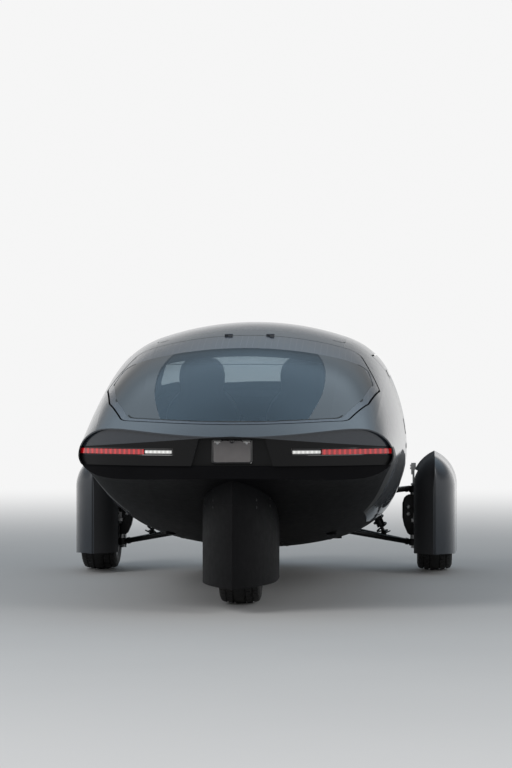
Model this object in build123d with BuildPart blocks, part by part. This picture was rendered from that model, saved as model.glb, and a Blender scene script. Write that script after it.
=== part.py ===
from build123d import *
import os
from math import sin, cos, tan, sqrt, radians

os.makedirs("parts", exist_ok=True)

# A teardrop three wheeled solar car. X is the car's right, Y is forward, Z is up, in mm.
# The origin is on the ground, under the middle of the overall length.

# Body skin sections: y, half width, roof height, height of the widest point, belly height
BODY_SECTIONS = (
    (-2300, 740, 800, 735, 690),
    (-2100, 757, 888, 746, 640),
    (-1850, 770, 990, 755, 585),
    (-1300, 795, 1190, 770, 430),
    (-600, 820, 1360, 770, 285),
    (100, 825, 1440, 740, 205),
    (800, 765, 1335, 660, 170),
    (1400, 625, 1045, 560, 175),
    (1850, 445, 745, 490, 225),
    (2060, 300, 600, 460, 290),
    (2150, 170, 520, 440, 350),
    (2185, 50, 450, 425, 400),
)
SHOULDER_UPPER = 0.50      # radius of the shoulder arc, for a quarter one unit wide and high
SHOULDER_LOWER = 0.62
ROOF_ARC = 22.0            # degrees that the roof arc turns before the shoulder
SHOULDER_ARC = 46.0        # degrees that the shoulder arc turns

GLASS_T = 6.0
SKIN_T = 6.0
WALL_T = 45.0
SEAM = 0.4                 # between fixed pieces
SHUT = 8.0                 # round doors and the hatch
PIN_FIT = 0.05             # radial clearance of a pin in its eye
FACE_FIT = 1.0             # axial clearance beside a moving eye

# Tail: cut by an upright cylinder, closed by a black fascia
TAIL_AXIS_Y = -1175.0
TAIL_R = 1010.0
FASCIA_R = 996.0
FASCIA_BACK_R = 900.0
CABIN_TAIL_R = 885.0
FASCIA_Z = 712.0
FASCIA_TOP_Z = 900.0
LAMP_Z = 779.0
LAMP_H = 24.0
LAMP_BACK_R = 981.0
LAMP_R = 999.0
REVERSE_X0 = 290.0
REVERSE_X1 = 422.0
TAIL_LAMP_X0 = 428.0
TAIL_LAMP_X1 = 760.0
RECESS_Y = -2115.0
RECESS_TOP_HALF = 160.0
RECESS_BOTTOM_HALF = 197.0
RECESS_TOP_Z = 842.0
PLATE_W = 178.0
PLATE_H = 102.0
PLATE_T = 3.0
PLATE_Z = 782.0
PLATE_HOLE_X = 70.0
PLATE_HOLE_Z = 822.0
PLATE_HOLE_R = 3.5

# Belly line in side view: y, z
BELLY_LINE = ((-2400, 712), (-1760, 712), (-900, 440), (-300, 362), (1200, 335), (2400, 350))

# Windscreen, roof panel and hood in plan: half outlines from the centre line, x, y
SCREEN_TOP_Y = 420.0
SCREEN_TOP_HALF = 500.0
SCREEN_SIDE_Y = 1000.0
SCREEN_SIDE_HALF = 662.0
SCREEN_BASE_Y = 1250.0
SCREEN_BASE_HALF = 430.0
SCREEN_BASE_BOW = 120.0
SCREEN_CORNER_R = 60.0
ROOF_FRONT_Y = 360.0
ROOF_REAR_Y = -440.0
ROOF_HALF = 500.0
ROOF_CORNER_R = 60.0
HOOD_REAR_Y = 1440.0
HOOD_REAR_HALF = 400.0
HOOD_FRONT_Y = 1960.0
HOOD_FRONT_HALF = 170.0
HOOD_BOW = 40.0
HOOD_CORNER_R = 70.0
HOOD_FLOOR_Z = 480.0
NOSE_Y = 1840.0

# Door in side view, on an upright plane beside the car: y, z, from the lower front corner
DOOR_PLANE_X = 840.0
DOOR_DRAFT = 9.0           # the jambs close in towards the cabin, so that the door swings clear
DOOR_FRONT_Y = 803.0
DOOR_OUTLINE = (
    (590, 372), (DOOR_FRONT_Y, 535), (DOOR_FRONT_Y, 800),
    (300, 1288), (-400, 1278), (-520, 800), (-392, 372),
)
DOOR_CORNER_R = 60.0
WINDOW_OUTLINE = ((628, 824), (255, 1198), (-352, 1190), (-432, 838))
WINDOW_CORNER_R = 60.0
HINGE_X = 758.0
HINGE_Z = (590.0, 730.0)   # lower ends of the two hinges
HINGE_PIN_R = 5.0
HINGE_EYE_R = 10.0
HINGE_POCKET_R = 17.0
DOOR_RELIEF_R = 11.0       # of the front jamb, round the hinge axis
LUG_H = 18.0
EYE_H = 24.0
LUG_REACH = 26.0

# Hatch: cut along a leaning direction, so that it lifts clear. Points on the skin: x, y, z
HATCH_LEAN = 20.0
HATCH_FRONT = (575, -618, 1357)
HATCH_SIDE = ((545, -1915, 925), (640, -1560, 1000), (690, -1150, 1061))
HATCH_REAR = (0, -2045, 912)
HATCH_CORNER_R = 80.0
HATCH_RIM = 30.0
HATCH_BAND = 330.0         # painted band between the hinge and the glass
HATCH_AXIS_Y = -614.0
HATCH_AXIS_Z = 1358.0
HATCH_HINGE_X = 110.0
HATCH_EYE_R = 7.0
HATCH_PIN_R = 3.5
HATCH_POCKET_R = 12.0       # cut round the hinges
HATCH_UNDER = 5.0          # free space below the hatch
HATCH_DEPTH = 78.0         # of the cut, below the lowest of these points

# Rear keel over the third wheel, in plan
WHEELBASE = 2750.0
REAR_Y = -1365.0
FRONT_Y = REAR_Y + WHEELBASE
KEEL_HALF = 185.0
KEEL_FRONT_Y = -600.0
KEEL_NOSE_R = 70.0
KEEL_MID_Y = -1200.0        # the sides run straight from here
KEEL_BACK_Y = -1450.0       # to here
KEEL_TAIL_Y = -2120.0
KEEL_Z = 120.0
KEEL_SPLIT_Z = 524.0
KEEL_WALL = 12.0
KEEL_FLOOR = 10.0
KEEL_HEEL = 100.0
WELL_HALF = 130.0
WELL_LENGTH = 740.0
WELL_Z = 700.0
KEEL_SLOT_HALF = 120.0
KEEL_SLOT_L = 590.0

# Wheels and tyres
TYRE_R = 305.0
TYRE_W = 205.0
TYRE_CROWN = 14.0
RIM_R = 212.0
RIM_W = 184.0
RIM_WALL = 10.0
RIM_LIP = 12.0
RIM_LIP_W = 6.0
RIM_WEB = 16.0
WEB_X = 40.0
SPOKES = 5
SPOKE_GAP_R = 46.0
SPOKE_GAP_PCD = 268.0
HUB_R = 62.0
AXLE_R = 17.0
TRACK_HALF = 985.0
DISC_R = 150.0
DISC_T = 10.0
DISC_X = 30.0

# Front running gear
KINGPIN_X = 862.0
PIN_R = 12.0
POST_R = 20.0
LOWER_JOINT_Z = 160.0
UPPER_JOINT_Z = 478.0
JOINT_H = 34.0
JOINT_R = 27.0
POST_GAP = 6.0
LOWER_ARM_IN = (330.0, 262.0, 200.0)     # inner end, behind the skin: x, z, spread along y
UPPER_ARM_IN = (520.0, 436.0, 120.0)
LOWER_ARM_R = 15.0
UPPER_ARM_R = 11.0
DAMPER_FOOT_X = 700.0
DAMPER_TOP = (560.0, 520.0)
DAMPER_R = 24.0
DAMPER_ROD_R = 10.0
DAMPER_ROD_L = 70.0
STEER_ARM = 120.0
CARRIER_R = 48.0
CARRIER_T = 30.0
BRACKET_Y = (42.0, 78.0)
BRACKET_TOP = 628.0

# Wheel pants: y from the axle, half width, ridge, shoulder, lower edge
PANT_SECTIONS = (
    (436, 16, 380, 350, 285),
    (385, 72, 510, 400, 165),
    (270, 118, 630, 465, 118),
    (0, 130, 702, 502, 112),
    (-280, 119, 686, 496, 112),
    (-520, 8, 600, 455, 118),
)
PANT_X = 985.0
PANT_WALL = 7.0
PANT_OPEN_X = 975.0
PANT_OPEN_Z = 590.0
PANT_OPEN_Y = 230.0

# Cabin
FLOOR_Z = 440.0
FLOOR_T = 14.0
FLOOR_REAR_Y = -640.0
FLOOR_FRONT_Y = 1300.0
DECK_Z = 712.0
DECK_T = 12.0
DECK_FRONT_Y = -560.0
BATTERY_HALF = 400.0
BATTERY_Y = (-420.0, 780.0)
SEAT_X = 272.0
SEAT_W = 420.0
SEAT_FIT = 0.3
SEAT_OUTLINE = (            # y, z above the floor
    (340, 0), (352, 115), (20, 85), (-70, 145), (-240, 807),
    (-290, 833), (-345, 813), (-352, 745), (-205, 105), (-170, 0),
)
SEAT_CORNER_R = 18.0
SEAT_EDGE_R = 16.0
DASH_OUTLINE = ((860, 700), (860, 800), (900, 872), (1130, 905), (1130, 700))
YOKE_R = 165.0
YOKE_TUBE_R = 13.0
COLUMN_R = 24.0
COLUMN_TILT = 15.0
COLUMN_HUB = (-272.0, 560.0, 835.0)
COLUMN_LENGTH = 330.0
COLUMN_PIN_R = 9.0
YOKE_HUB_R = 44.0
YOKE_HUB_T = 34.0
DISPLAY_W = 300.0
DISPLAY_H = 170.0
DISPLAY_T = 12.0
DISPLAY_Z = 745.0

# Swing arm of the rear wheel
SWING_Y = -930.0
SWING_Z = 300.0
SWING_PIN_R = 14.0
SWING_X = 112.0
SWING_T = 12.0
SWING_H = 56.0
SWING_LUG_X = 85.0
SWING_LUG_T = 15.0
SWING_LUG_L = 60.0
SWING_LUG_TOP = 375.0

# Headlamps, in front view
HEADLAMP_X = (150.0, 335.0)
HEADLAMP_Z = (522.0, 552.0)
HEADLAMP_Y = 1880.0

# Jacking bosses under the belly: x, y, z of the flat face
JACK_POINTS = ((430, 620, 224), (430, -430, 300))
JACK_R = 28.0
JACK_H = 40.0


def unit_quarter(shoulder):
    """Roof, shoulder and side arcs of a quarter one unit wide and high: centre, radius, turn."""
    a, e = radians(ROOF_ARC), radians(ROOF_ARC + SHOULDER_ARC)
    left = (sin(a), 1 - sin(e), 1 - shoulder * (sin(e) - sin(a)))
    right = (1 - cos(a), cos(e), 1 - shoulder * (cos(a) - cos(e)))
    det = left[0] * right[1] - left[1] * right[0]
    roof = (left[2] * right[1] - left[1] * right[2]) / det
    side = (left[0] * right[2] - right[0] * left[2]) / det
    c1 = (0.0, 1 - roof)
    c2 = (c1[0] + (roof - shoulder) * sin(a), c1[1] + (roof - shoulder) * cos(a))
    c3 = (c2[0] + (shoulder - side) * sin(e), c2[1] + (shoulder - side) * cos(e))
    a_end, e_end = 90 - ROOF_ARC, 90 - ROOF_ARC - SHOULDER_ARC
    return ((c1, roof, 90.0, a_end), (c2, shoulder, a_end, e_end), (c3, side, e_end, 0.0))


def body_loft(inset, sections=BODY_SECTIONS):
    """The body skin moved inwards, as one smooth loft."""
    quarters = ((1, SHOULDER_UPPER), (-1, SHOULDER_LOWER))
    with BuildPart() as skin:
        for y, half, roof, waist, belly in sections:
            wide = half - inset
            heights = {1: roof - waist - inset, -1: waist - belly - inset}
            with BuildSketch(Plane.XZ.offset(-y)):
                with BuildLine():
                    for up, shoulder in quarters:
                        for side in (1, -1):
                            for (cx, cz), radius, start, end in unit_quarter(shoulder):
                                first = start if side > 0 else 180 - start
                                last = end if side > 0 else 180 - end
                                high = heights[up]
                                EllipticalCenterArc(
                                    (side * cx * wide, waist + up * cz * high),
                                    radius * wide, radius * high,
                                    up * first, arc_size=up * (last - first))
                make_face()
        loft()
    return skin.part


def side_prism(points, corner, grow, x0, x1, draft=0.0):
    """A rounded outline in side view, pushed inwards from x0 to x1 and closing in by the draft."""
    facing_in = Plane(origin=(x0, 0, 0), x_dir=(0, 1, 0), z_dir=(-1, 0, 0))
    with BuildPart() as prism:
        with BuildSketch(facing_in) as outline:
            with BuildLine():
                Polyline(*[(y, -z) for y, z in points], close=True)
            make_face()
            fillet(outline.vertices(), corner)
            if grow:
                offset(amount=grow)
        extrude(amount=x0 - x1, taper=draft)
    return prism.part


def plan_prism(side, front_bow, rear_bow, corner, grow, z0, z1, lean=0.0):
    """An outline in plan, given by its right side from rear to front, pushed from z0 to z1."""
    (x_rear, y_rear), (x_front, y_front) = side[0], side[-1]
    plane = Plane.XY.rotated((lean, 0, 0)).offset(z0)
    with BuildPart() as prism:
        with BuildSketch(plane) as outline:
            with BuildLine():
                Polyline(*side)
                Polyline(*[(-x, y) for x, y in side])
                if front_bow:
                    ThreePointArc(side[-1], (0, y_front + front_bow), (-x_front, y_front))
                else:
                    Line(side[-1], (-x_front, y_front))
                if rear_bow:
                    ThreePointArc(side[0], (0, y_rear - rear_bow), (-x_rear, y_rear))
                else:
                    Line(side[0], (-x_rear, y_rear))
            make_face()
            fillet(outline.vertices(), corner)
            if grow:
                offset(amount=grow)
        extrude(amount=z1 - z0)
    return prism.part


def tail_keep(radius):
    """All in front of the tail's round end, of this radius."""
    with BuildPart() as keep:
        with Locations((0, TAIL_AXIS_Y, 0)):
            Box(2 * TAIL_R, 3600, 2000, align=(Align.CENTER, Align.MIN, Align.MIN))
            Cylinder(radius, 2000, align=(Align.CENTER, Align.CENTER, Align.MIN))
    return keep.part


def tail_ring(inner, outer, z0, z1):
    """A band round the tail's round end, behind its axis."""
    with BuildPart() as ring:
        with Locations((0, TAIL_AXIS_Y, z0)):
            Cylinder(outer, z1 - z0, align=(Align.CENTER, Align.CENTER, Align.MIN))
            Cylinder(inner, z1 - z0, align=(Align.CENTER, Align.CENTER, Align.MIN), mode=Mode.SUBTRACT)
            Box(4 * outer, 2 * outer, 2 * z1, align=(Align.CENTER, Align.MIN, Align.CENTER),
                mode=Mode.SUBTRACT)
    return ring.part


def mirrored(part):
    """The same piece on the car's left."""
    return part.mirror(Plane.YZ)


def save(part, name):
    part.label = name
    export_step(part, f"parts/{name}.step")


def bar(start, end, radius):
    """A round bar between two points."""
    path = Vector(*end) - Vector(*start)
    with BuildPart() as rod:
        with BuildSketch(Plane(origin=start, z_dir=path.normalized())):
            Circle(radius)
        extrude(amount=path.length)
    return rod.part


def block(x0, x1, y0, y1, z0, z1):
    """A box between these limits."""
    with BuildPart() as box:
        with Locations(((x0 + x1) / 2, (y0 + y1) / 2, (z0 + z1) / 2)):
            Box(x1 - x0, y1 - y0, z1 - z0)
    return box.part


def post(x, y, z0, z1, radius):
    """An upright cylinder."""
    with BuildPart() as rod:
        with Locations((x, y, z0)):
            Cylinder(radius, z1 - z0, align=(Align.CENTER, Align.CENTER, Align.MIN))
    return rod.part


def cross_bar(x0, x1, y, z, radius):
    """A cylinder along the car's width."""
    with BuildPart() as rod:
        with BuildSketch(Plane.YZ.offset(x0)):
            with Locations((y, z)):
                Circle(radius)
        extrude(amount=x1 - x0)
    return rod.part


# The skin, the form under its glass, and the space inside its walls
skin = body_loft(0.0)
under_glass = body_loft(GLASS_T)
inner = body_loft(WALL_T, BODY_SECTIONS[1:-2])
lining = body_loft(WALL_T + SEAM, BODY_SECTIONS[1:-2])
clear_lining = body_loft(WALL_T + HATCH_UNDER, BODY_SECTIONS[1:-2])
cabin = inner & tail_keep(CABIN_TAIL_R)
past_skin = body_loft(-SEAM)

# Cutters for the fixed panels
screen_side = (
    (SCREEN_TOP_HALF, SCREEN_TOP_Y),
    (SCREEN_SIDE_HALF, SCREEN_SIDE_Y),
    (SCREEN_BASE_HALF, SCREEN_BASE_Y),
)
roof_side = ((ROOF_HALF, ROOF_REAR_Y), (ROOF_HALF, ROOF_FRONT_Y))
hood_side = ((HOOD_REAR_HALF, HOOD_REAR_Y), (HOOD_FRONT_HALF, HOOD_FRONT_Y))


def screen_cut(grow):
    return plan_prism(screen_side, SCREEN_BASE_BOW, 0, SCREEN_CORNER_R, grow, 800, 1500)


def roof_cut(grow):
    return plan_prism(roof_side, 0, 0, ROOF_CORNER_R, grow, 1100, 1500)


def hood_cut(grow):
    return plan_prism(hood_side, HOOD_BOW, 0, HOOD_CORNER_R, grow, HOOD_FLOOR_Z, 1500)


def belly_cut(lift, y0, y1):
    """All below the belly line."""
    points = [(y, z + lift) for y, z in BELLY_LINE]
    with BuildPart() as below:
        with BuildSketch(Plane.YZ.offset(-TAIL_R)):
            with BuildLine():
                Polyline(*points, (points[-1][0], 0), (points[0][0], 0), close=True)
            make_face()
        extrude(amount=2 * TAIL_R)
    return below.part & block(-TAIL_R, TAIL_R, y0, y1, 0, 1500)


# Cutters for the hatch, looking down the direction in which it is cut
lean_sin, lean_cos = sin(radians(HATCH_LEAN)), cos(radians(HATCH_LEAN))


def hatch_plan(point):
    """A point of the skin on the leaning plane."""
    return (point[0], point[1] * lean_cos + point[2] * lean_sin)


hatch_side = [hatch_plan(point) for point in (*HATCH_SIDE, HATCH_FRONT)]
hatch_bow = hatch_side[0][1] - hatch_plan(HATCH_REAR)[1]


hatch_low = min(z * lean_cos - y * lean_sin for x, y, z in HATCH_SIDE) - HATCH_DEPTH


def hatch_cut(grow):
    return plan_prism(hatch_side, 0, hatch_bow, HATCH_CORNER_R, grow, hatch_low, 2200, HATCH_LEAN)


def rear_glass_cut(grow):
    """The glass follows the hatch at the sides and below, and stops under the painted band."""
    with BuildPart() as band:
        with BuildSketch(Plane.XY.rotated((HATCH_LEAN, 0, 0))):
            with Locations((0, hatch_side[-1][1] - HATCH_BAND + grow)):
                Rectangle(2 * TAIL_R, 3000, align=(Align.CENTER, Align.MAX))
        extrude(amount=2200)
    return hatch_cut(grow - HATCH_RIM) & band.part


def door_cut(grow):
    return side_prism(DOOR_OUTLINE, DOOR_CORNER_R, grow, DOOR_PLANE_X, 480.0, DOOR_DRAFT)


def window_cut(grow):
    return side_prism(WINDOW_OUTLINE, WINDOW_CORNER_R, grow, DOOR_PLANE_X, 250.0, DOOR_DRAFT)


# Fixed panels
save((screen_cut(-SEAM) & skin) - under_glass, "windscreen")
save((roof_cut(-SEAM) & skin) - inner, "roof_panel")
save((hood_cut(-SEAM) & skin) - inner, "hood")


def headlamp_zone(grow):
    """The two slots of the headlamps, looking along the car."""
    reach = (HEADLAMP_Y, 2300, HEADLAMP_Z[0] - grow, HEADLAMP_Z[1] + grow)
    return (block(HEADLAMP_X[0] - grow, HEADLAMP_X[1] + grow, *reach)
            + block(-HEADLAMP_X[1] - grow, -HEADLAMP_X[0] + grow, *reach))


save((headlamp_zone(0) & skin) - under_glass, "headlamps")
nose_zone = block(-900, 900, NOSE_Y + SEAM, 2300, 0, 1500)
save((nose_zone & skin) - [inner, hood_cut(0), headlamp_zone(SEAM) - under_glass], "nose_bumper")

# Tail fascia with its lamps, plate recess and plate
fascia_space = tail_ring(FASCIA_BACK_R - SEAM, 1100, 0, FASCIA_TOP_Z + 60) & under_glass
lamp_groove = tail_ring(
    LAMP_BACK_R - SEAM, 1100, LAMP_Z - LAMP_H / 2 - SEAM, LAMP_Z + LAMP_H / 2 + SEAM)
lamp_ring = tail_ring(LAMP_BACK_R, LAMP_R, LAMP_Z - LAMP_H / 2, LAMP_Z + LAMP_H / 2)


def lamp_pair(shape, x0, x1):
    """The stretches of a ring between x0 and x1 on both sides."""
    reach = (-2400, TAIL_AXIS_Y, 0, 1500)
    return shape & (block(x0, x1, *reach) + block(-x1, -x0, *reach))


with BuildPart() as recess:
    with BuildSketch(Plane.XZ.offset(2400)):
        with BuildLine():
            Polyline(
                (-RECESS_BOTTOM_HALF, FASCIA_Z - 1), (RECESS_BOTTOM_HALF, FASCIA_Z - 1),
                (RECESS_TOP_HALF, RECESS_TOP_Z), (-RECESS_TOP_HALF, RECESS_TOP_Z), close=True)
        make_face()
    extrude(amount=-(2400 + RECESS_Y))

fascia_blank = (
    tail_ring(FASCIA_BACK_R, FASCIA_R, FASCIA_Z + SEAM, FASCIA_TOP_Z + 60) & body_loft(SKIN_T + SEAM))
tail_fascia = fascia_blank - [
    lamp_pair(lamp_groove, REVERSE_X0 - SEAM, TAIL_LAMP_X1 + SEAM), recess.part, hatch_cut(SHUT)]
save(tail_fascia, "tail_fascia")
save(lamp_pair(lamp_ring, TAIL_LAMP_X0, TAIL_LAMP_X1), "tail_lamps")
save(lamp_pair(lamp_ring, REVERSE_X0, REVERSE_X1), "reverse_lamps")

with BuildPart() as number_plate:
    with BuildSketch(Plane.XZ.offset(-RECESS_Y + SEAM)):
        with Locations((0, PLATE_Z)):
            RectangleRounded(PLATE_W, PLATE_H, 10)
        with Locations((-PLATE_HOLE_X, PLATE_HOLE_Z), (PLATE_HOLE_X, PLATE_HOLE_Z)):
            Circle(PLATE_HOLE_R, mode=Mode.SUBTRACT)
    extrude(amount=PLATE_T)
save(number_plate.part, "number_plate")

# Belly pan with its jacking bosses, wheel well and swing arm lugs
with BuildPart() as jack_bosses:
    for x, y, z in JACK_POINTS:
        with Locations((x, y, z), (-x, y, z)):
            Cylinder(JACK_R, JACK_H, align=(Align.CENTER, Align.CENTER, Align.MIN))
swing_lugs = [
    block(x, x + SWING_LUG_T, SWING_Y - SWING_LUG_L / 2, SWING_Y + SWING_LUG_L / 2,
          SWING_Z - SWING_LUG_L / 2, SWING_LUG_TOP)
    for x in (SWING_LUG_X, -SWING_LUG_X - SWING_LUG_T)
]
belly_zone = belly_cut(-SEAM, -2400, NOSE_Y) & tail_keep(TAIL_R - 25)
wheel_well = block(-WELL_HALF, WELL_HALF, REAR_Y - WELL_LENGTH / 2, REAR_Y + WELL_LENGTH / 2, 0, WELL_Z)
swing_bore = cross_bar(-200, 200, SWING_Y, SWING_Z, SWING_PIN_R + PIN_FIT)
belly_pan = (belly_zone & skin) - [cabin, wheel_well]
belly_pan = belly_pan + [jack_bosses.part, *swing_lugs]
belly_pan = belly_pan - swing_bore
save(belly_pan, "belly_pan")

# Hatch
hatch_space = hatch_cut(SHUT) - clear_lining
hatch_frame = (hatch_cut(0) & skin) - [inner, rear_glass_cut(0)]
hatch_eyes = []
hatch_lugs = []
frame_pockets = []
roof_pockets = []
for x in (HATCH_HINGE_X, -HATCH_HINGE_X):
    eye = cross_bar(x, x + EYE_H, HATCH_AXIS_Y, HATCH_AXIS_Z, HATCH_EYE_R)
    eye += block(x, x + EYE_H, HATCH_AXIS_Y - LUG_REACH, HATCH_AXIS_Y, HATCH_AXIS_Z - LUG_REACH, HATCH_AXIS_Z)
    hatch_eyes.append(eye - cross_bar(
        x - 1, x + EYE_H + 1, HATCH_AXIS_Y, HATCH_AXIS_Z, HATCH_PIN_R + PIN_FIT))
    frame_pockets.append(cross_bar(x - 2 * FACE_FIT - LUG_H, x, HATCH_AXIS_Y, HATCH_AXIS_Z, HATCH_POCKET_R))
    roof_pockets.append(cross_bar(
        x - FACE_FIT, x + EYE_H + FACE_FIT, HATCH_AXIS_Y, HATCH_AXIS_Z, HATCH_POCKET_R))
    lug_x = (x - FACE_FIT - LUG_H, x - FACE_FIT)
    lug_end = HATCH_AXIS_Y + LUG_REACH
    lug = cross_bar(*lug_x, HATCH_AXIS_Y, HATCH_AXIS_Z, HATCH_EYE_R)
    lug += block(*lug_x, HATCH_AXIS_Y + HATCH_EYE_R / 2, lug_end, HATCH_AXIS_Z - HATCH_EYE_R, HATCH_AXIS_Z)
    lug += block(*lug_x, lug_end - 14, lug_end, HATCH_AXIS_Z - LUG_REACH, HATCH_AXIS_Z)
    hatch_lugs.append(lug + cross_bar(
        x - FACE_FIT - LUG_H, x + EYE_H, HATCH_AXIS_Y, HATCH_AXIS_Z, HATCH_PIN_R))
save((hatch_frame - frame_pockets) + hatch_eyes, "hatch_frame")
save((rear_glass_cut(-SEAM) & skin) - under_glass, "hatch_glass")

# Doors, right and mirrored
hinge_y = DOOR_FRONT_Y - (DOOR_PLANE_X - HINGE_X) * tan(radians(DOOR_DRAFT)) + SHUT / 2
door_eyes = []
door_lugs = []
door_pockets = []
shell_pockets = []
pin_bores = []
for z in HINGE_Z:
    eye_z = z + LUG_H + FACE_FIT
    eye = post(HINGE_X, hinge_y, eye_z, eye_z + EYE_H, HINGE_EYE_R)
    door_eyes.append(eye + block(
        HINGE_X - HINGE_EYE_R, HINGE_X, hinge_y - LUG_REACH, hinge_y, eye_z, eye_z + EYE_H))
    pin_bores.append(post(
        HINGE_X, hinge_y, eye_z - FACE_FIT, eye_z + EYE_H + FACE_FIT, HINGE_PIN_R + PIN_FIT))
    lug = post(HINGE_X, hinge_y, z, z + LUG_H, HINGE_EYE_R)
    lug += block(HINGE_X - HINGE_EYE_R, HINGE_X, hinge_y, hinge_y + LUG_REACH, z, z + LUG_H)
    door_lugs.append(lug + post(HINGE_X, hinge_y, z, eye_z + EYE_H, HINGE_PIN_R))
    door_pockets.append(post(HINGE_X, hinge_y, z - FACE_FIT, z + LUG_H + FACE_FIT, HINGE_POCKET_R))
    shell_pockets.append(post(HINGE_X, hinge_y, eye_z - FACE_FIT, eye_z + EYE_H + FACE_FIT, HINGE_POCKET_R))
door = (door_cut(0) & skin) - [inner, window_cut(0), *door_pockets]
door = door + door_eyes
door = door - pin_bores
save(door, "door_right")
save(mirrored(door), "door_left")
door_glass = (window_cut(-SEAM) & skin) - under_glass
save(door_glass, "door_glass_right")
save(mirrored(door_glass), "door_glass_left")

# Body shell: what the panels leave of the shell, with the hinge lugs
door_relief = post(HINGE_X, hinge_y, DOOR_OUTLINE[1][1], DOOR_OUTLINE[2][1], DOOR_RELIEF_R)
side_spaces = [door_cut(SHUT), door_relief, *shell_pockets]
shell_zone = (tail_keep(TAIL_R) & block(-900, 900, -2400, NOSE_Y, 0, 1500)) - belly_cut(0, -2400, 2400)
body_shell = (shell_zone & skin) - [
    cabin, screen_cut(0), roof_cut(0), hood_cut(0), fascia_space, hatch_space,
    *side_spaces, *[mirrored(space) for space in side_spaces]]
body_shell = (body_shell - roof_pockets) + [*hatch_lugs, *door_lugs, *[mirrored(lug) for lug in door_lugs]]
save(body_shell, "body_shell")


# Keel: upper fairing and wheel cover
def keel_end(length, wall):
    """How far the keel's side arc reaches from its widest place, at this depth in its wall."""
    radius = (KEEL_HALF ** 2 + length ** 2) / (2 * KEEL_HALF)
    return sqrt((radius - wall) ** 2 - (radius - KEEL_HALF) ** 2)


def keel_plan(wall, z0, z1):
    """The keel's teardrop plan, pushed from z0 to z1."""
    front = KEEL_MID_Y + keel_end(KEEL_FRONT_Y - KEEL_MID_Y, wall)
    tail = KEEL_BACK_Y - keel_end(KEEL_BACK_Y - KEEL_TAIL_Y, wall)
    with BuildPart() as prism:
        with BuildSketch(Plane.XY.offset(z0)) as plan:
            with BuildLine():
                for half in (KEEL_HALF - wall, wall - KEEL_HALF):
                    TangentArc((half, KEEL_MID_Y), (0, front), tangent=(0, 1))
                    Line((half, KEEL_MID_Y), (half, KEEL_BACK_Y))
                    TangentArc((half, KEEL_BACK_Y), (0, tail), tangent=(0, -1))
            make_face()
            fillet(plan.vertices().sort_by(Axis.Y)[-1], KEEL_NOSE_R - wall)
        extrude(amount=z1 - z0)
    return prism.part


with BuildPart() as keel_profile:
    with BuildSketch(Plane.YZ.offset(-KEEL_HALF - 10)) as keel_side:
        with BuildLine():
            Polyline(
                (KEEL_TAIL_Y - 10, KEEL_Z), (KEEL_FRONT_Y - 420, KEEL_Z), (KEEL_FRONT_Y + 10, 260),
                (KEEL_FRONT_Y + 10, 800), (KEEL_TAIL_Y - 10, 800), close=True)
        make_face()
        fillet(keel_side.vertices().sort_by(Axis.Z)[0:2].sort_by(Axis.Y)[0], KEEL_HEEL)
    extrude(amount=2 * KEEL_HALF + 20)

wheel_slot = block(
    -KEEL_SLOT_HALF, KEEL_SLOT_HALF, REAR_Y - KEEL_SLOT_L / 2, REAR_Y + KEEL_SLOT_L / 2, 0, 200)
cover_hollow = keel_plan(KEEL_WALL, KEEL_Z + KEEL_FLOOR, KEEL_SPLIT_Z + 50)
wheel_cover = (keel_plan(0, KEEL_Z, KEEL_SPLIT_Z - SEAM) & keel_profile.part) - [cover_hollow, wheel_slot]
save(wheel_cover - past_skin, "wheel_cover")
keel = keel_plan(0, KEEL_SPLIT_Z, WELL_Z) - keel_plan(KEEL_WALL, KEEL_SPLIT_Z - 1, WELL_Z + 1)
save(keel - past_skin, "keel")


# Wheels, drawn round the axle at the origin with the outer face towards +X
def tyre():
    bead = RIM_R + 0.3
    half = TYRE_W / 2
    foot = RIM_W / 2 - RIM_LIP_W - SEAM
    with BuildPart() as ring:
        with BuildSketch(Plane.XY):
            with BuildLine():
                Polyline((-foot, bead + 14), (-foot, bead), (foot, bead), (foot, bead + 14))
                ThreePointArc((foot, bead + 14), (half, bead + 48), (half - 12, TYRE_R - TYRE_CROWN))
                ThreePointArc((half - 12, TYRE_R - TYRE_CROWN), (0, TYRE_R), (12 - half, TYRE_R - TYRE_CROWN))
                ThreePointArc((12 - half, TYRE_R - TYRE_CROWN), (-half, bead + 48), (-foot, bead + 14))
            make_face()
        revolve(axis=Axis.X)
    return ring.part


def rim():
    half = RIM_W / 2
    barrel = RIM_R - RIM_WALL
    with BuildPart() as wheel:
        with BuildSketch(Plane.XY):
            with BuildLine():
                Polyline(
                    (-half, barrel), (half, barrel), (half, RIM_R + RIM_LIP),
                    (half - RIM_LIP_W, RIM_R + RIM_LIP), (half - RIM_LIP_W, RIM_R), (RIM_LIP_W - half, RIM_R),
                    (RIM_LIP_W - half, RIM_R + RIM_LIP), (-half, RIM_R + RIM_LIP), close=True)
            make_face()
        revolve(axis=Axis.X)
        with BuildSketch(Plane.YZ.offset(WEB_X)):
            Circle(barrel + 1)
            with PolarLocations(SPOKE_GAP_PCD / 2, SPOKES):
                Circle(SPOKE_GAP_R, mode=Mode.SUBTRACT)
        extrude(amount=RIM_WEB)
        with BuildSketch(Plane.YZ.offset(-DISC_X)):
            Circle(HUB_R)
        extrude(amount=DISC_X + WEB_X + RIM_WEB)
        with BuildSketch(Plane.YZ.offset(-DISC_X)):
            Circle(DISC_R)
        extrude(amount=DISC_T)
        with BuildSketch(Plane.YZ.offset(-half)):
            Circle(AXLE_R + PIN_FIT)
        extrude(amount=RIM_W, mode=Mode.SUBTRACT)
    return wheel.part


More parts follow.
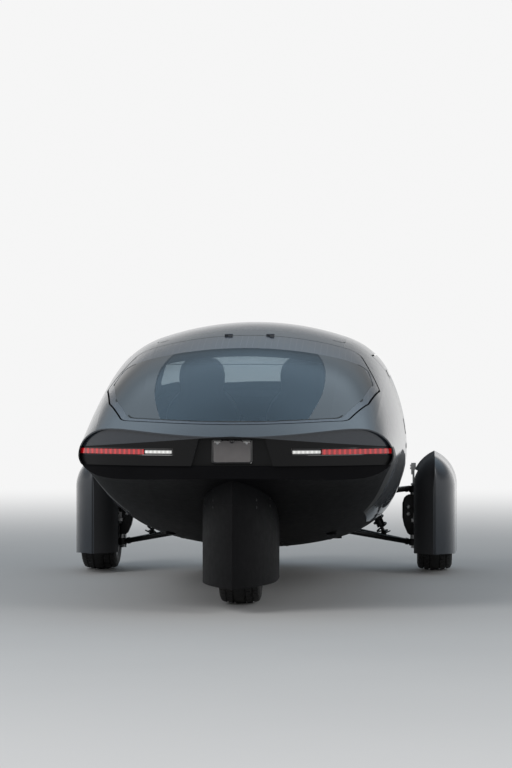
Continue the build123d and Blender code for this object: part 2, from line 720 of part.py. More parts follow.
tyre_solid = tyre()
rim_solid = rim()
save(Pos(TRACK_HALF, FRONT_Y, TYRE_R) * tyre_solid, "tyre_right")
save(Pos(TRACK_HALF, FRONT_Y, TYRE_R) * rim_solid, "rim_right")
save(mirrored(Pos(TRACK_HALF, FRONT_Y, TYRE_R) * tyre_solid), "tyre_left")
save(mirrored(Pos(TRACK_HALF, FRONT_Y, TYRE_R) * rim_solid), "rim_left")
save(Pos(0, REAR_Y, TYRE_R) * tyre_solid, "tyre_rear")
save(Pos(0, REAR_Y, TYRE_R) * rim_solid, "rim_rear")


# Swing arm of the rear wheel
with BuildPart() as swing_arm:
    for x in (SWING_X, -SWING_X - SWING_T):
        with BuildSketch(Plane.YZ.offset(x)):
            with BuildLine():
                Line((SWING_Y, SWING_Z + SWING_H / 2), (REAR_Y, TYRE_R + SWING_H / 2))
                Line((SWING_Y, SWING_Z - SWING_H / 2), (REAR_Y, TYRE_R - SWING_H / 2))
                ThreePointArc((REAR_Y, TYRE_R + SWING_H / 2), (REAR_Y - SWING_H / 2, TYRE_R),
                              (REAR_Y, TYRE_R - SWING_H / 2))
                ThreePointArc((SWING_Y, SWING_Z + SWING_H / 2), (SWING_Y + SWING_H / 2, SWING_Z),
                              (SWING_Y, SWING_Z - SWING_H / 2))
            make_face()
        extrude(amount=SWING_T)
    with BuildSketch(Plane.YZ.offset(-SWING_X)):
        with Locations((SWING_Y, SWING_Z)):
            Circle(SWING_PIN_R)
        with Locations((REAR_Y, TYRE_R)):
            Circle(AXLE_R)
    extrude(amount=2 * SWING_X)
save(swing_arm.part, "swing_arm")


# Wheel pants
def pant_loft(inset, drop=0.0):
    """The pant's outer form moved inwards, drawn round the axle's place on the ground."""
    with BuildPart() as form:
        for dy, half, ridge, shoulder, edge in PANT_SECTIONS:
            wide = max(half - inset, 1.5)
            high = ridge - inset
            low = edge - drop
            with BuildSketch(Plane.XZ.offset(-(FRONT_Y + dy))):
                with BuildLine():
                    Line((PANT_X - wide, low), (PANT_X + wide, low))
                    for side in (1, -1):
                        Line((PANT_X + side * wide, low), (PANT_X + side * wide, shoulder))
                        TangentArc((PANT_X + side * wide, shoulder), (PANT_X, high), tangent=(0, 1))
                make_face()
        loft()
    return form.part


def pant_side(grow):
    """The inner side that is left open for the arms."""
    reach = PANT_OPEN_Y + grow
    return block(PANT_X - 200, PANT_OPEN_X + grow, FRONT_Y - reach, FRONT_Y + reach, 0, PANT_OPEN_Z + grow)


pant = pant_loft(0) - pant_loft(PANT_WALL, 60) - pant_side(0)
save(pant, "pant_right")
save(mirrored(pant), "pant_left")

# Knuckle: post on the kingpin, stub axle, steering arm and the pant's bracket
bracket = (FRONT_Y + BRACKET_Y[0], FRONT_Y + BRACKET_Y[1])
bracket_step = PANT_OPEN_Z - SHUT
bracket_head = (
    block(KINGPIN_X - 14, KINGPIN_X + 14, *bracket, bracket_step - 22, BRACKET_TOP) - pant_loft(-SEAM))
post_z = (LOWER_JOINT_Z + JOINT_H / 2 + POST_GAP, UPPER_JOINT_Z - JOINT_H / 2 - POST_GAP)
knuckle = post(KINGPIN_X, FRONT_Y, *post_z, POST_R) + [
    post(KINGPIN_X, FRONT_Y, LOWER_JOINT_Z - JOINT_H / 2 - 4, UPPER_JOINT_Z + JOINT_H / 2 + 4, PIN_R),
    cross_bar(KINGPIN_X, TRACK_HALF + WEB_X + RIM_WEB, FRONT_Y, TYRE_R, AXLE_R),
    cross_bar(KINGPIN_X, KINGPIN_X + CARRIER_T, FRONT_Y, TYRE_R, CARRIER_R),
    block(KINGPIN_X - 11, KINGPIN_X + 11, FRONT_Y - STEER_ARM, FRONT_Y, TYRE_R - 18, TYRE_R),
    block(KINGPIN_X - 6, KINGPIN_X + 6, FRONT_Y, bracket[1], TYRE_R - 18, TYRE_R + 18),
    block(KINGPIN_X - 6, KINGPIN_X + 6, *bracket, TYRE_R, bracket_step),
    bracket_head,
]
save(knuckle, "knuckle_right")
save(mirrored(knuckle), "knuckle_left")


# Arms and dampers, both sides in one node each
def wishbone(joint_z, inside, radius):
    x, z, spread = inside
    arm = post(KINGPIN_X, FRONT_Y, joint_z - JOINT_H / 2, joint_z + JOINT_H / 2, JOINT_R)
    return arm + [bar((KINGPIN_X, FRONT_Y, joint_z), (x, FRONT_Y + side * spread, z), radius)
                  for side in (1, -1)]


lower_arm = wishbone(LOWER_JOINT_Z, LOWER_ARM_IN, LOWER_ARM_R)
share = (KINGPIN_X - DAMPER_FOOT_X) / (KINGPIN_X - LOWER_ARM_IN[0])
foot_z = LOWER_JOINT_Z + share * (LOWER_ARM_IN[1] - LOWER_JOINT_Z)
foot_y = share * LOWER_ARM_IN[2]
lower_arm += bar((DAMPER_FOOT_X, FRONT_Y - foot_y, foot_z), (DAMPER_FOOT_X, FRONT_Y + foot_y, foot_z),
                 LOWER_ARM_R - 2)
pin_bore = post(KINGPIN_X, FRONT_Y, 0, 700, PIN_R + PIN_FIT)
lower_arm = lower_arm - [pin_bore, past_skin]
upper_arm = wishbone(UPPER_JOINT_Z, UPPER_ARM_IN, UPPER_ARM_R) - [pin_bore, past_skin]
save(lower_arm + mirrored(lower_arm), "lower_arms")
save(upper_arm + mirrored(upper_arm), "upper_arms")

foot = Vector(DAMPER_FOOT_X, FRONT_Y, foot_z)
reach = Vector(DAMPER_TOP[0], FRONT_Y, DAMPER_TOP[1]) - foot
seat = foot + reach.normalized() * (LOWER_ARM_R - 2 + SEAM)
damper = bar(tuple(seat), tuple(foot + reach), DAMPER_ROD_R)
damper += bar(tuple(foot + reach.normalized() * DAMPER_ROD_L), tuple(foot + reach), DAMPER_R)
damper = damper - past_skin - bar(
    (DAMPER_FOOT_X, FRONT_Y - 60, foot_z), (DAMPER_FOOT_X, FRONT_Y + 60, foot_z), LOWER_ARM_R - 2 + 0.3)
save(damper + mirrored(damper), "dampers")

# Floor, battery and luggage deck
battery = (lining & block(-BATTERY_HALF, BATTERY_HALF, *BATTERY_Y, 0, FLOOR_Z))
save(battery, "battery_pack")
save(clear_lining & block(-900, 900, FLOOR_REAR_Y, FLOOR_FRONT_Y, FLOOR_Z, FLOOR_Z + FLOOR_T), "cabin_floor")
deck_zone = block(-900, 900, -2400, DECK_FRONT_Y, DECK_Z, DECK_Z + DECK_T)
deck_zone += block(-900, 900, FLOOR_REAR_Y - DECK_T, FLOOR_REAR_Y - SEAM, FLOOR_Z, DECK_Z + DECK_T)
save((deck_zone & tail_keep(CABIN_TAIL_R - SEAM)) & lining, "luggage_deck")

# Seats, plain closed forms
with BuildPart() as seat_form:
    with BuildSketch(Plane.YZ.offset(SEAT_X - SEAT_W / 2)) as seat_side:
        with BuildLine():
            Polyline(*[(y, z + FLOOR_Z + FLOOR_T + SEAT_FIT) for y, z in SEAT_OUTLINE], close=True)
        make_face()
        fillet(seat_side.vertices(), SEAT_CORNER_R)
    extrude(amount=SEAT_W)
    fillet(seat_form.faces().filter_by(Axis.X).edges(), SEAT_EDGE_R)
save(seat_form.part, "seat_right")
save(mirrored(seat_form.part), "seat_left")

# Dashboard, display, column and yoke
with BuildPart() as dash:
    with BuildSketch(Plane.YZ.offset(-900)):
        with BuildLine():
            Polyline(*DASH_OUTLINE, close=True)
        make_face()
    extrude(amount=1800)
save(dash.part & lining, "dashboard")
dash_y = DASH_OUTLINE[0][0]
display = block(
    -DISPLAY_W / 2, DISPLAY_W / 2, dash_y - SEAM - DISPLAY_T, dash_y - SEAM, DISPLAY_Z, DISPLAY_Z + DISPLAY_H)
save(display, "display")

tilt_sin, tilt_cos = sin(radians(COLUMN_TILT)), cos(radians(COLUMN_TILT))
column_plane = Plane(origin=COLUMN_HUB, x_dir=(1, 0, 0), z_dir=(0, -tilt_cos, tilt_sin))
with BuildPart() as column:
    with BuildSketch(column_plane.offset(-YOKE_HUB_T / 2 - SEAM)):
        Circle(COLUMN_R)
    extrude(amount=-COLUMN_LENGTH)
    with BuildSketch(column_plane.offset(-YOKE_HUB_T / 2 - 5)):
        Circle(COLUMN_PIN_R)
    extrude(amount=YOKE_HUB_T)
    with Locations((COLUMN_HUB[0], dash_y - SEAM, COLUMN_HUB[2])):
        Box(300, 600, 900, align=(Align.CENTER, Align.MIN, Align.CENTER), mode=Mode.SUBTRACT)
save(column.part, "steering_column")

with BuildPart() as yoke:
    with BuildSketch(Plane.YZ):
        with Locations((0, YOKE_R)):
            Circle(YOKE_TUBE_R)
    revolve(axis=Axis.Y)
yoke_ring = column_plane.location * (Rot(90, 0, 0) * yoke.part)
with BuildPart() as yoke_hub:
    with BuildSketch(column_plane.offset(-YOKE_HUB_T / 2)):
        Circle(YOKE_HUB_R)
        Rectangle(2 * YOKE_R, 34)
        with Locations((0, -YOKE_R / 2)):
            Rectangle(34, YOKE_R)
    extrude(amount=YOKE_HUB_T / 2)
    with BuildSketch(column_plane.offset(-YOKE_HUB_T)):
        Circle(COLUMN_PIN_R + PIN_FIT)
    extrude(amount=YOKE_HUB_T * 2, mode=Mode.SUBTRACT)
save(yoke_ring + yoke_hub.part, "steering_yoke")
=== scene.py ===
from math import cos, exp, hypot, pi, radians, sin, sqrt, tan

import bmesh
import bpy
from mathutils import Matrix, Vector
from mathutils.bvhtree import BVHTree


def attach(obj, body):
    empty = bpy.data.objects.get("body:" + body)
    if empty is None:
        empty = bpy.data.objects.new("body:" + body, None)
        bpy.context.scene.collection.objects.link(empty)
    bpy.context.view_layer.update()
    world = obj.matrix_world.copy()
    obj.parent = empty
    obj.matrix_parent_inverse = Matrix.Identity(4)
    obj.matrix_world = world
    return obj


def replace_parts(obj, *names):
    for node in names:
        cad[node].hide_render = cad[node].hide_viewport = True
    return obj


# Looks of a teardrop three wheeled solar car. X is the car's right, Y forward, Z up, in metres.
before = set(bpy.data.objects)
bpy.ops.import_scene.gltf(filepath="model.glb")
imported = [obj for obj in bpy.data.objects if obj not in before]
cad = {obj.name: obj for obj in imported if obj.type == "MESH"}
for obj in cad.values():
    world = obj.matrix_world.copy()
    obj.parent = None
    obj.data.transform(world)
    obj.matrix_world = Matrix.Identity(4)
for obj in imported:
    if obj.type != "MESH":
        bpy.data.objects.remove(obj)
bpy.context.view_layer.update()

# Places that the solids give
TAIL_AXIS_Y = -1.175
FASCIA_R = 0.996
LAMP_Z = 0.779
LAMP_HALF_H = 0.012
PLATE_LAMP_FOOT_Z = 0.81     # the plate's lamps are all above it, the reversing lamps below
REVERSE_X = (0.290, 0.422)
TAIL_LAMP_X = (0.428, 0.760)
CREASE_Z = 0.856            # the black of the tail starts under a crease, lower towards the corners
CREASE_DROP = 0.074         # for each metre across
TAIL_LINE_Y = -1.75         # from here the black falls forwards to the belly
TAIL_LINE_FALL = 0.41
TYRE_R = 0.305
FRONT_Y = 1.385
REAR_Y = -1.365
TRACK_HALF = 0.985
HATCH_LEAN = radians(20)
DOOR_DRAFT = radians(9)
DOOR_PLANE_X = 0.840
SEAT_X = 0.272
CABIN_AXIS_Z = 0.75
WHEELS = {"right": (TRACK_HALF, FRONT_Y), "left": (-TRACK_HALF, FRONT_Y), "rear": (0, REAR_Y)}
SIDES = (("right", 1), ("left", -1))
DOWN = (0, 0, -1)


def math_node(operation):
    """A method of a signal that adds a Math node of this kind."""
    return lambda signal, *others: signal.maths(operation, *others)


class Signal:
    """A value in a material. Arithmetic on it adds Math nodes."""

    def __init__(self, finish, socket):
        self.finish = finish
        self.socket = socket

    def maths(self, operation, *others):
        return self.finish.node("Math", {"operation": operation}, dict(enumerate((self, *others))))

    __add__ = __radd__ = math_node("ADD")
    __sub__ = math_node("SUBTRACT")
    __mul__ = __rmul__ = math_node("MULTIPLY")
    __truediv__ = math_node("DIVIDE")
    __pow__ = math_node("POWER")
    __abs__ = math_node("ABSOLUTE")
    above, below = math_node("GREATER_THAN"), math_node("LESS_THAN")
    lowest, highest = math_node("MINIMUM"), math_node("MAXIMUM")
    sine = math_node("SINE")

    def __rsub__(self, other):
        return self.finish.node("Math", {"operation": "SUBTRACT"}, {0: other, 1: self})

    def __neg__(self):
        return self * -1

    def ramp(self, start, end):
        """0 at start, 1 at end, smooth between."""
        return self.finish.node(
            "MapRange", {"interpolation_type": "SMOOTHSTEP"},
            {"Value": self, "From Min": start, "From Max": end, "To Min": 0, "To Max": 1})

    def fold(self, pitch):
        """Distance from the nearest multiple of the pitch."""
        return self.maths("PINGPONG", pitch / 2)


class Finish:
    """A procedural material round one Principled shader."""

    def __init__(self, name, colour, roughness, **sockets):
        self.material = bpy.data.materials.new(name)
        self.material.use_nodes = True
        self.tree = self.material.node_tree
        self.shader = self.tree.nodes["Principled BSDF"]
        self.output = self.tree.nodes["Material Output"]
        self.coordinates = {}
        self.feed(Base_Color=colour, Roughness=roughness, **sockets)

    def put(self, socket, value):
        if isinstance(value, Signal):
            self.tree.links.new(value.socket, socket)
        elif isinstance(value, tuple) and len(value) == 3 and socket.type == "RGBA":
            socket.default_value = (*value, 1)
        else:
            socket.default_value = value

    def feed(self, **sockets):
        for name, value in sockets.items():
            self.put(self.shader.inputs[name.replace("_", " ")], value)
        return self

    def node(self, kind, settings=None, values=None, output=0):
        """Adds a node: its type, its settings, then the values or links of its sockets."""
        made = self.tree.nodes.new("ShaderNode" + kind)
        for name, value in (settings or {}).items():
            setattr(made, name, value)
        for name, value in (values or {}).items():
            self.put(made.inputs[name], value)
        return Signal(self, made.outputs[output])

    def place(self, axis):
        """The x, y or z of the point in the car's frame, at rest."""
        return self.split("Object", axis)

    def facing(self, axis):
        """The x, y or z of the surface's normal at rest."""
        return self.split("Normal", axis)

    def split(self, output, axis):
        if output not in self.coordinates:
            source = self.node("TexCoord", output=output)
            self.coordinates[output] = (source, self.node("SeparateXYZ", None, {0: source}).socket.node)
        return Signal(self, self.coordinates[output][1].outputs["XYZ".index(axis)])

    def position(self, scale=(1, 1, 1)):
        self.split("Object", "X")
        source = self.coordinates["Object"][0]
        return self.node("VectorMath", {"operation": "MULTIPLY"}, {0: source, 1: scale})

    def noise(self, scale, detail=3, stretch=(1, 1, 1)):
        place = self.position(stretch)
        return self.node("TexNoise", None, {"Vector": place, "Scale": scale, "Detail": detail})

    def cells(self, scale, output="Distance"):
        return self.node("TexVoronoi", None, {"Vector": self.position(), "Scale": scale}, output)

    def blend(self, factor, first, second):
        """A mix of two colours."""
        return self.node("Mix", {"data_type": "RGBA"}, {"Factor": factor, 6: first, 7: second}, 2)

    def dent(self, height, distance, strength=1.0):
        """Bump from a height signal, on the normal."""
        bump = self.node("Bump", None, {"Height": height, "Distance": distance, "Strength": strength})
        return self.feed(Normal=bump)

    def mix_in(self, factor, shader):
        """Mixes another shader into this one: factor 1 is all of the other."""
        mixed = self.node("MixShader", None, {0: factor, 2: shader})
        self.tree.links.new(self.shader.outputs[0], mixed.socket.node.inputs[1])
        self.tree.links.new(mixed.socket, self.output.inputs["Surface"])
        return self

    def see_through(self, factor, tint):
        """Mixes in a clear film: factor 1 is all clear."""
        return self.mix_in(factor, self.node("BsdfTransparent", None, {"Color": tint}))


def inner_side(finish):
    """1 on faces that look in towards the cabin."""
    x, z = finish.place("X"), finish.place("Z") - CABIN_AXIS_Z
    along = x * finish.facing("X") + z * finish.facing("Z")
    return (along / ((x * x + z * z) ** 0.5 + 0.02)).below(-0.3)


def lower_tail(finish):
    """1 on the black lower tail, under a crease that falls forwards to the belly along the sides."""
    crease = CREASE_Z - abs(finish.place("X")) * CREASE_DROP
    falling = crease - (finish.place("Y") - TAIL_LINE_Y) * TAIL_LINE_FALL
    return finish.place("Z").below(crease.lowest(falling))


def grain(finish, scale, depth, detail=4, strength=0.6):
    """A fine uneven surface."""
    return finish.dent(finish.noise(scale, detail), depth, strength)


def mottled(name, colour, roughness, spots, dark, light, **sockets):
    """A finish whose colour drifts between two tones; spots gives the scale and detail of the drift."""
    finish = Finish(name, colour, roughness, **sockets)
    return finish.feed(Base_Color=finish.blend(finish.noise(*spots), dark, light))


def uneven(finish, lowest, spread, *spots):
    """Roughness that drifts up from its lowest value."""
    return finish.feed(Roughness=lowest + finish.noise(*spots) * spread)


def make_paint(name, cells=False):
    """Near black blue grey clearcoat with fine flake; trim cloth on the faces inside."""
    paint = Finish(name, (0.022, 0.028, 0.037), 0.42, Metallic=0.15, Specular_IOR_Level=0.2, Coat_Weight=0.8,
                   Coat_Roughness=0.03)
    flake = paint.cells(2600, output="Color")
    sparkle = paint.node("SeparateColor", None, {0: flake})
    body = paint.blend(sparkle.above(0.93), (0.017, 0.022, 0.030), (0.060, 0.074, 0.094))
    body = paint.blend(paint.noise(2.2, 2).ramp(0.35, 0.7) * 0.5, body, (0.024, 0.031, 0.041))
    if cells:
        body = solar_cells(paint, body)
    inside, black = inner_side(paint), lower_tail(paint)
    body = paint.blend(black, body, (0.004, 0.004, 0.0045))
    cloth = paint.blend(paint.noise(900, 2), (0.030, 0.031, 0.034), (0.060, 0.061, 0.064))
    paint.feed(
        Base_Color=paint.blend(inside, body, cloth), Roughness=0.42 + inside * 0.5,
        Metallic=0.15 - inside.highest(black) * 0.15, Coat_Weight=0.8 - inside.highest(black) * 0.8)
    return paint.dent(paint.noise(140, 2) * 0.35 + paint.noise(900, 2) * inside, 0.0006, 0.15)


CELL = 0.128                # side of a solar cell


def solar_cells(finish, body):
    """Blue black cells with fine silver lines, under the clearcoat."""
    x, y = finish.place("X") + CELL / 2, finish.place("Y")
    gap = x.fold(CELL).lowest(y.fold(CELL))
    corner = (x.fold(CELL) + y.fold(CELL)).below(0.016)
    frame_line = gap.below(0.0014).highest(corner)
    bus = x.fold(CELL / 4).below(0.0005) * gap.above(0.003)
    fingers = y.fold(0.0032).below(0.0003)
    tone = finish.blend(finish.noise(7, 1), (0.006, 0.009, 0.020), (0.010, 0.015, 0.034))
    tone = finish.blend(fingers * 0.35, tone, (0.05, 0.06, 0.075))
    tone = finish.blend(bus * 0.7, tone, (0.14, 0.15, 0.17))
    cell = finish.blend(frame_line, tone, (0.022, 0.025, 0.030))
    return finish.blend(finish.facing("Z").above(0.35), body, cell)


def half_planes(finish, u, v, points):
    """Signed distance outwards from a convex outline, given against the clock."""
    depth = None
    corner = 0.06
    for (u0, v0), (u1, v1) in zip(points, points[1:] + points[:1]):
        length = hypot(u1 - u0, v1 - v0)
        side = (u - u0) * ((v1 - v0) / length) + (v - v0) * (-(u1 - u0) / length)
        depth = side if depth is None else depth.maths("SMOOTH_MAX", side, corner)
    return depth


def make_glass(name, tint, depth_of, band):
    """Dark tinted glass with a black printed band; depth_of gives the distance outwards from the edge."""
    frit = (0.004, 0.004, 0.005)
    glass = Finish(name, frit, 0.02, IOR=1.45)
    edge = (-depth_of(glass)).ramp(band - 0.005, band + 0.006)
    clear = (edge + (glass.cells(260) - 0.45) * 0.9 * (1 - abs(edge * 2 - 1))).ramp(0.45, 0.55)
    glass.feed(Base_Color=glass.blend(clear, frit, (0.26, 0.32, 0.37)), Metallic=clear)
    rim = glass.node("LayerWeight", None, {"Blend": 0.28}, 1)
    return glass.see_through((1 - rim ** 2.2 * 0.85) * 0.92 * clear, tint)


def lean_place(finish):
    """The point in the leaning plane of the hatch, as in the solids."""
    return finish.place("Y") * cos(HATCH_LEAN) + finish.place("Z") * sin(HATCH_LEAN)


def lean_point(y, z):
    return y * cos(HATCH_LEAN) + z * sin(HATCH_LEAN)


# The clear middle of the rear glass: half width and place in the leaning plane, from the tail up
REAR_CLEAR = [(0.375, lean_point(-2.045, 0.912) + 0.012), (0.455, lean_point(-1.600, 1.000)),
              (0.455, lean_point(-1.120, 1.061)), (0.395, lean_point(-0.618, 1.357) - 0.280)]


def across_depth(points, place_of, beyond=0):
    """The distance outwards from an outline that is the same on both sides of the car."""
    points = [(-0.9, points[0][1]), *points, (-0.9, points[-1][1] + beyond)]
    return lambda finish: half_planes(finish, abs(finish.place("X")), place_of(finish), points)


# Of the windscreen: half width and place along the car
SCREEN_CLEAR = [(0.50, 0.42), (0.662, 1.0), (0.43, 1.25), (0.2, 1.335)]

# Door glass: places along and up
WINDOW = [(-0.432, 0.838), (0.628, 0.824), (0.255, 1.198), (-0.352, 1.190)]


def window_depth(finish):
    closing = (DOOR_PLANE_X - abs(finish.place("X"))) * tan(DOOR_DRAFT)
    return half_planes(finish, finish.place("Y"), finish.place("Z"), WINDOW) + closing


# Finishes
paint = make_paint("body_paint")
solar_paint = make_paint("solar_paint", cells=True)
piano = grain(Finish("gloss_black", (0.005, 0.005, 0.006), 0.12, Coat_Weight=0.6, Coat_Roughness=0.02),
              90, 0.0004, 2, 0.1)
composite = mottled("black_composite", (0.004, 0.004, 0.005), 0.5, (5, 3), (0.003, 0.003, 0.0035),
                    (0.006, 0.006, 0.007), Specular_IOR_Level=0.04)
grain(uneven(composite, 0.46, 0.16, 30, 4), 1400, 0.0003, 2, 0.5)

rear_glass = make_glass("rear_glass", (0.66, 0.70, 0.72), across_depth(REAR_CLEAR, lean_place), 0.03)
front_glass = make_glass("front_glass", (0.86, 0.89, 0.89),
                         across_depth(SCREEN_CLEAR, lambda finish: finish.place("Y"), 0.015), 0.05)
side_glass = make_glass("side_glass", (0.34, 0.37, 0.39), window_depth, 0.03)

BULB_PITCH = 0.046
BULB_Z = 0.534
DAYLIGHT_Z = 0.5475         # of the strip above the bulbs
head_lens = Finish("head_lens", (0.02, 0.021, 0.023), 0.04, Coat_Weight=1.0, Coat_Roughness=0.01)
bulb_across = (head_lens.place("X") + BULB_PITCH / 4).fold(BULB_PITCH)
bulb = (bulb_across ** 2 + (head_lens.place("Z") - BULB_Z) ** 2) ** 0.5
strip = abs(head_lens.place("Z") - DAYLIGHT_Z).ramp(0.0030, 0.0022)
glow = bulb.ramp(0.0085, 0.0060)
ring = bulb.ramp(0.0100, 0.0095) - bulb.ramp(0.0090, 0.0085)
housing = head_lens.blend(ring, (0.012, 0.012, 0.014), (0.30, 0.31, 0.33))
shine = head_lens.blend(glow, (0, 0, 0), (0.10, 0.105, 0.11))
head_lens.feed(Base_Color=head_lens.blend(glow.highest(strip), housing, (0.80, 0.82, 0.85)),
               Emission_Color=head_lens.blend(strip, shine, (0.75, 0.78, 0.82)), Emission_Strength=0.6)
head_lens.dent(glow, 0.004, 0.6)

red_lens = Finish("red_lens", (0.30, 0.004, 0.008), 0.12, Coat_Weight=1.0, Coat_Roughness=0.02)
ribs = (red_lens.place("X") * 260).sine()
crests = ribs.ramp(-0.4, 0.9)
red_lens.feed(Base_Color=red_lens.blend(crests, (0.20, 0.003, 0.006), (0.48, 0.008, 0.012)),
              Emission_Color=red_lens.blend(crests, (0.30, 0.002, 0.004), (0.65, 0.01, 0.012)),
              Emission_Strength=0.30)
red_lens.dent(ribs, 0.0006, 0.4)

white_lens = Finish("white_lens", (0.72, 0.72, 0.70), 0.15, Coat_Weight=1.0, Coat_Roughness=0.02)
ribs = (white_lens.place("X") * 300).sine()
height = white_lens.place("Z")
lit = abs(height - LAMP_Z).ramp(0.0074, 0.0060).highest(height.above(PLATE_LAMP_FOOT_Z))
white = white_lens.blend(ribs.ramp(-0.6, 0.9), (0.55, 0.55, 0.54), (0.85, 0.85, 0.83))
white_lens.feed(Base_Color=white_lens.blend(lit, (0.020, 0.020, 0.022), white),
                Emission_Color=white_lens.blend(lit, (0, 0, 0), (0.95, 0.94, 0.90)), Emission_Strength=0.22)
white_lens.dent(ribs, 0.0006, 0.4)

plate_metal = mottled("plate_metal", (0.15, 0.14, 0.14), 0.4, (18, 4), (0.12, 0.112, 0.112),
                      (0.17, 0.16, 0.16), Metallic=0.1)
battery_metal = Finish("battery_metal", (0.25, 0.26, 0.27), 0.4, Metallic=0.9)
grain(uneven(battery_metal, 0.35, 0.2, 20, 4, (1, 8, 1)), 300, 0.0003)

carpet = mottled("carpet", (0.02, 0.02, 0.022), 0.95, (1200, 3), (0.012, 0.012, 0.014), (0.05, 0.05, 0.053))
grain(carpet, 900, 0.003, 4, 0.8)
soft_trim = mottled("soft_trim", (0.045, 0.045, 0.048), 0.62, (6, 3), (0.035, 0.035, 0.038),
                    (0.055, 0.055, 0.058))
soft_trim.dent(soft_trim.cells(900), 0.0006, 0.5)
seat_shell = mottled("seat_shell", (0.10, 0.105, 0.11), 0.45, (5, 3), (0.090, 0.095, 0.100),
                     (0.125, 0.130, 0.136))
grain(seat_shell, 1300, 0.0003, 2, 0.3)
hide = mottled("seat_hide", (0.22, 0.23, 0.24), 0.55, (12, 3), (0.19, 0.20, 0.21), (0.27, 0.28, 0.29),
               Sheen_Weight=0.3, Sheen_Roughness=0.4)
uneven(hide, 0.5, 0.15, 25, 3).dent(hide.cells(650) + hide.noise(60, 3) * 0.6, 0.0008, 0.5)

webbing = Finish("belt_webbing", (0.03, 0.03, 0.032), 0.7)
weave = (webbing.place("Z") * 2400).sine() * (webbing.place("Y") * 2400).sine()
webbing.feed(Base_Color=webbing.blend(weave.ramp(-0.6, 0.8), (0.018, 0.018, 0.02), (0.05, 0.05, 0.053)))
webbing.dent(weave, 0.0004, 0.6)

grip_hide = mottled("grip_hide", (0.03, 0.03, 0.032), 0.5, (40, 3), (0.022, 0.022, 0.024),
                    (0.042, 0.042, 0.045))
grip_hide.dent(grip_hide.cells(1100), 0.0005, 0.5)
mirror_face = uneven(Finish("mirror_face", (0.85, 0.86, 0.87), 0.02, Metallic=1.0), 0.015, 0.02, 20, 2)

speaker_mesh = Finish("speaker_mesh", (0.02, 0.02, 0.021), 0.6)
holes = speaker_mesh.cells(330)
speaker_mesh.feed(Base_Color=speaker_mesh.blend(
    holes.ramp(0.2, 0.35), (0.003, 0.003, 0.003), (0.035, 0.035, 0.037)))
speaker_mesh.dent(holes.ramp(0.15, 0.4), 0.0012, 0.8)

screen_face = mottled("screen_face", (0.004, 0.005, 0.007), 0.06, (3, 1), (0.003, 0.004, 0.006),
                      (0.006, 0.008, 0.012), Coat_Weight=1.0, Coat_Roughness=0.01)

black_steel = Finish("black_steel", (0.015, 0.015, 0.016), 0.38, Metallic=0.5)
black_steel.feed(Base_Color=black_steel.blend(
    black_steel.noise(8, 4).ramp(0.45, 0.75), (0.012, 0.012, 0.013), (0.035, 0.032, 0.03)))
grain(uneven(black_steel, 0.32, 0.2, 40, 4), 600, 0.0004, 2, 0.4)
bare_alloy = mottled("bare_alloy", (0.42, 0.43, 0.44), 0.32, (9, 4), (0.33, 0.335, 0.34),
                     (0.5, 0.505, 0.51), Metallic=1.0)
grain(uneven(bare_alloy, 0.28, 0.2, 30, 4), 500, 0.0003, 3, 0.4)
wheel_alloy = mottled("wheel_alloy", (0.06, 0.062, 0.066), 0.3, (25, 4), (0.045, 0.047, 0.05),
                      (0.08, 0.082, 0.086), Metallic=0.85, Coat_Weight=0.6, Coat_Roughness=0.08)
grain(wheel_alloy, 1200, 0.0002, 2, 0.3)

rubber = Finish("tyre_rubber", (0.014, 0.014, 0.014), 0.78)
dust = rubber.noise(9, 4).ramp(0.45, 0.8)
rubber.feed(Base_Color=rubber.blend(dust, (0.011, 0.011, 0.011), (0.030, 0.029, 0.027)),
            Roughness=0.7 + dust * 0.2)
grain(rubber, 500, 0.0006, 3, 0.5)
seal_rubber = grain(uneven(Finish("seal_rubber", (0.006, 0.006, 0.006), 0.55), 0.5, 0.15, 50, 3), 900, 0.0003)

# Finish of each CAD node
for finish, names in (
    (paint, "body_shell door_right door_left nose_bumper pant_right pant_left tail_fascia"),
    (solar_paint, "roof_panel hood hatch_frame"),
    (composite, "belly_pan wheel_cover keel"),
    (rear_glass, "hatch_glass"),
    (front_glass, "windscreen"),
    (side_glass, "door_glass_right door_glass_left"),
    (head_lens, "headlamps"),
    (red_lens, "tail_lamps"),
    (white_lens, "reverse_lamps"),
    (plate_metal, "number_plate"),
    (battery_metal, "battery_pack"),
    (carpet, "cabin_floor luggage_deck"),
    (soft_trim, "dashboard steering_yoke"),
    (screen_face, "display"),
    (hide, "seat_right seat_left"),
    (black_steel, "swing_arm lower_arms upper_arms dampers steering_column"),
    (bare_alloy, "knuckle_right knuckle_left"),
    (wheel_alloy, "rim_right rim_left rim_rear"),
    (rubber, "tyre_right tyre_left tyre_rear"),
):
    for name in names.split():
        cad[name].data.materials.clear()
        cad[name].data.materials.append(finish.material)


def put_in_scene(name, data):
    made = bpy.data.objects.new(name, data)
    bpy.context.scene.collection.objects.link(made)
    return made


def add_piece(name, points, faces, finish, body="body", sharp=35, smooth_steps=0):
    """A mesh piece that moves with a body of the car."""
    mesh = bpy.data.meshes.new(name)
    mesh.from_pydata([tuple(point) for point in points], [], faces)
    work = bmesh.new()
    work.from_mesh(mesh)
    bmesh.ops.recalc_face_normals(work, faces=work.faces)
    work.to_mesh(mesh)
    work.free()
    mesh.materials.append(finish.material)
    mesh.shade_smooth()
    if sharp:
        mesh.set_sharp_from_angle(angle=radians(sharp))
    made = put_in_scene(name, mesh)
    if smooth_steps:
        soften = made.modifiers.new("soften", "SUBSURF")
        soften.levels = soften.render_levels = smooth_steps
    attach(made, body)
    return made


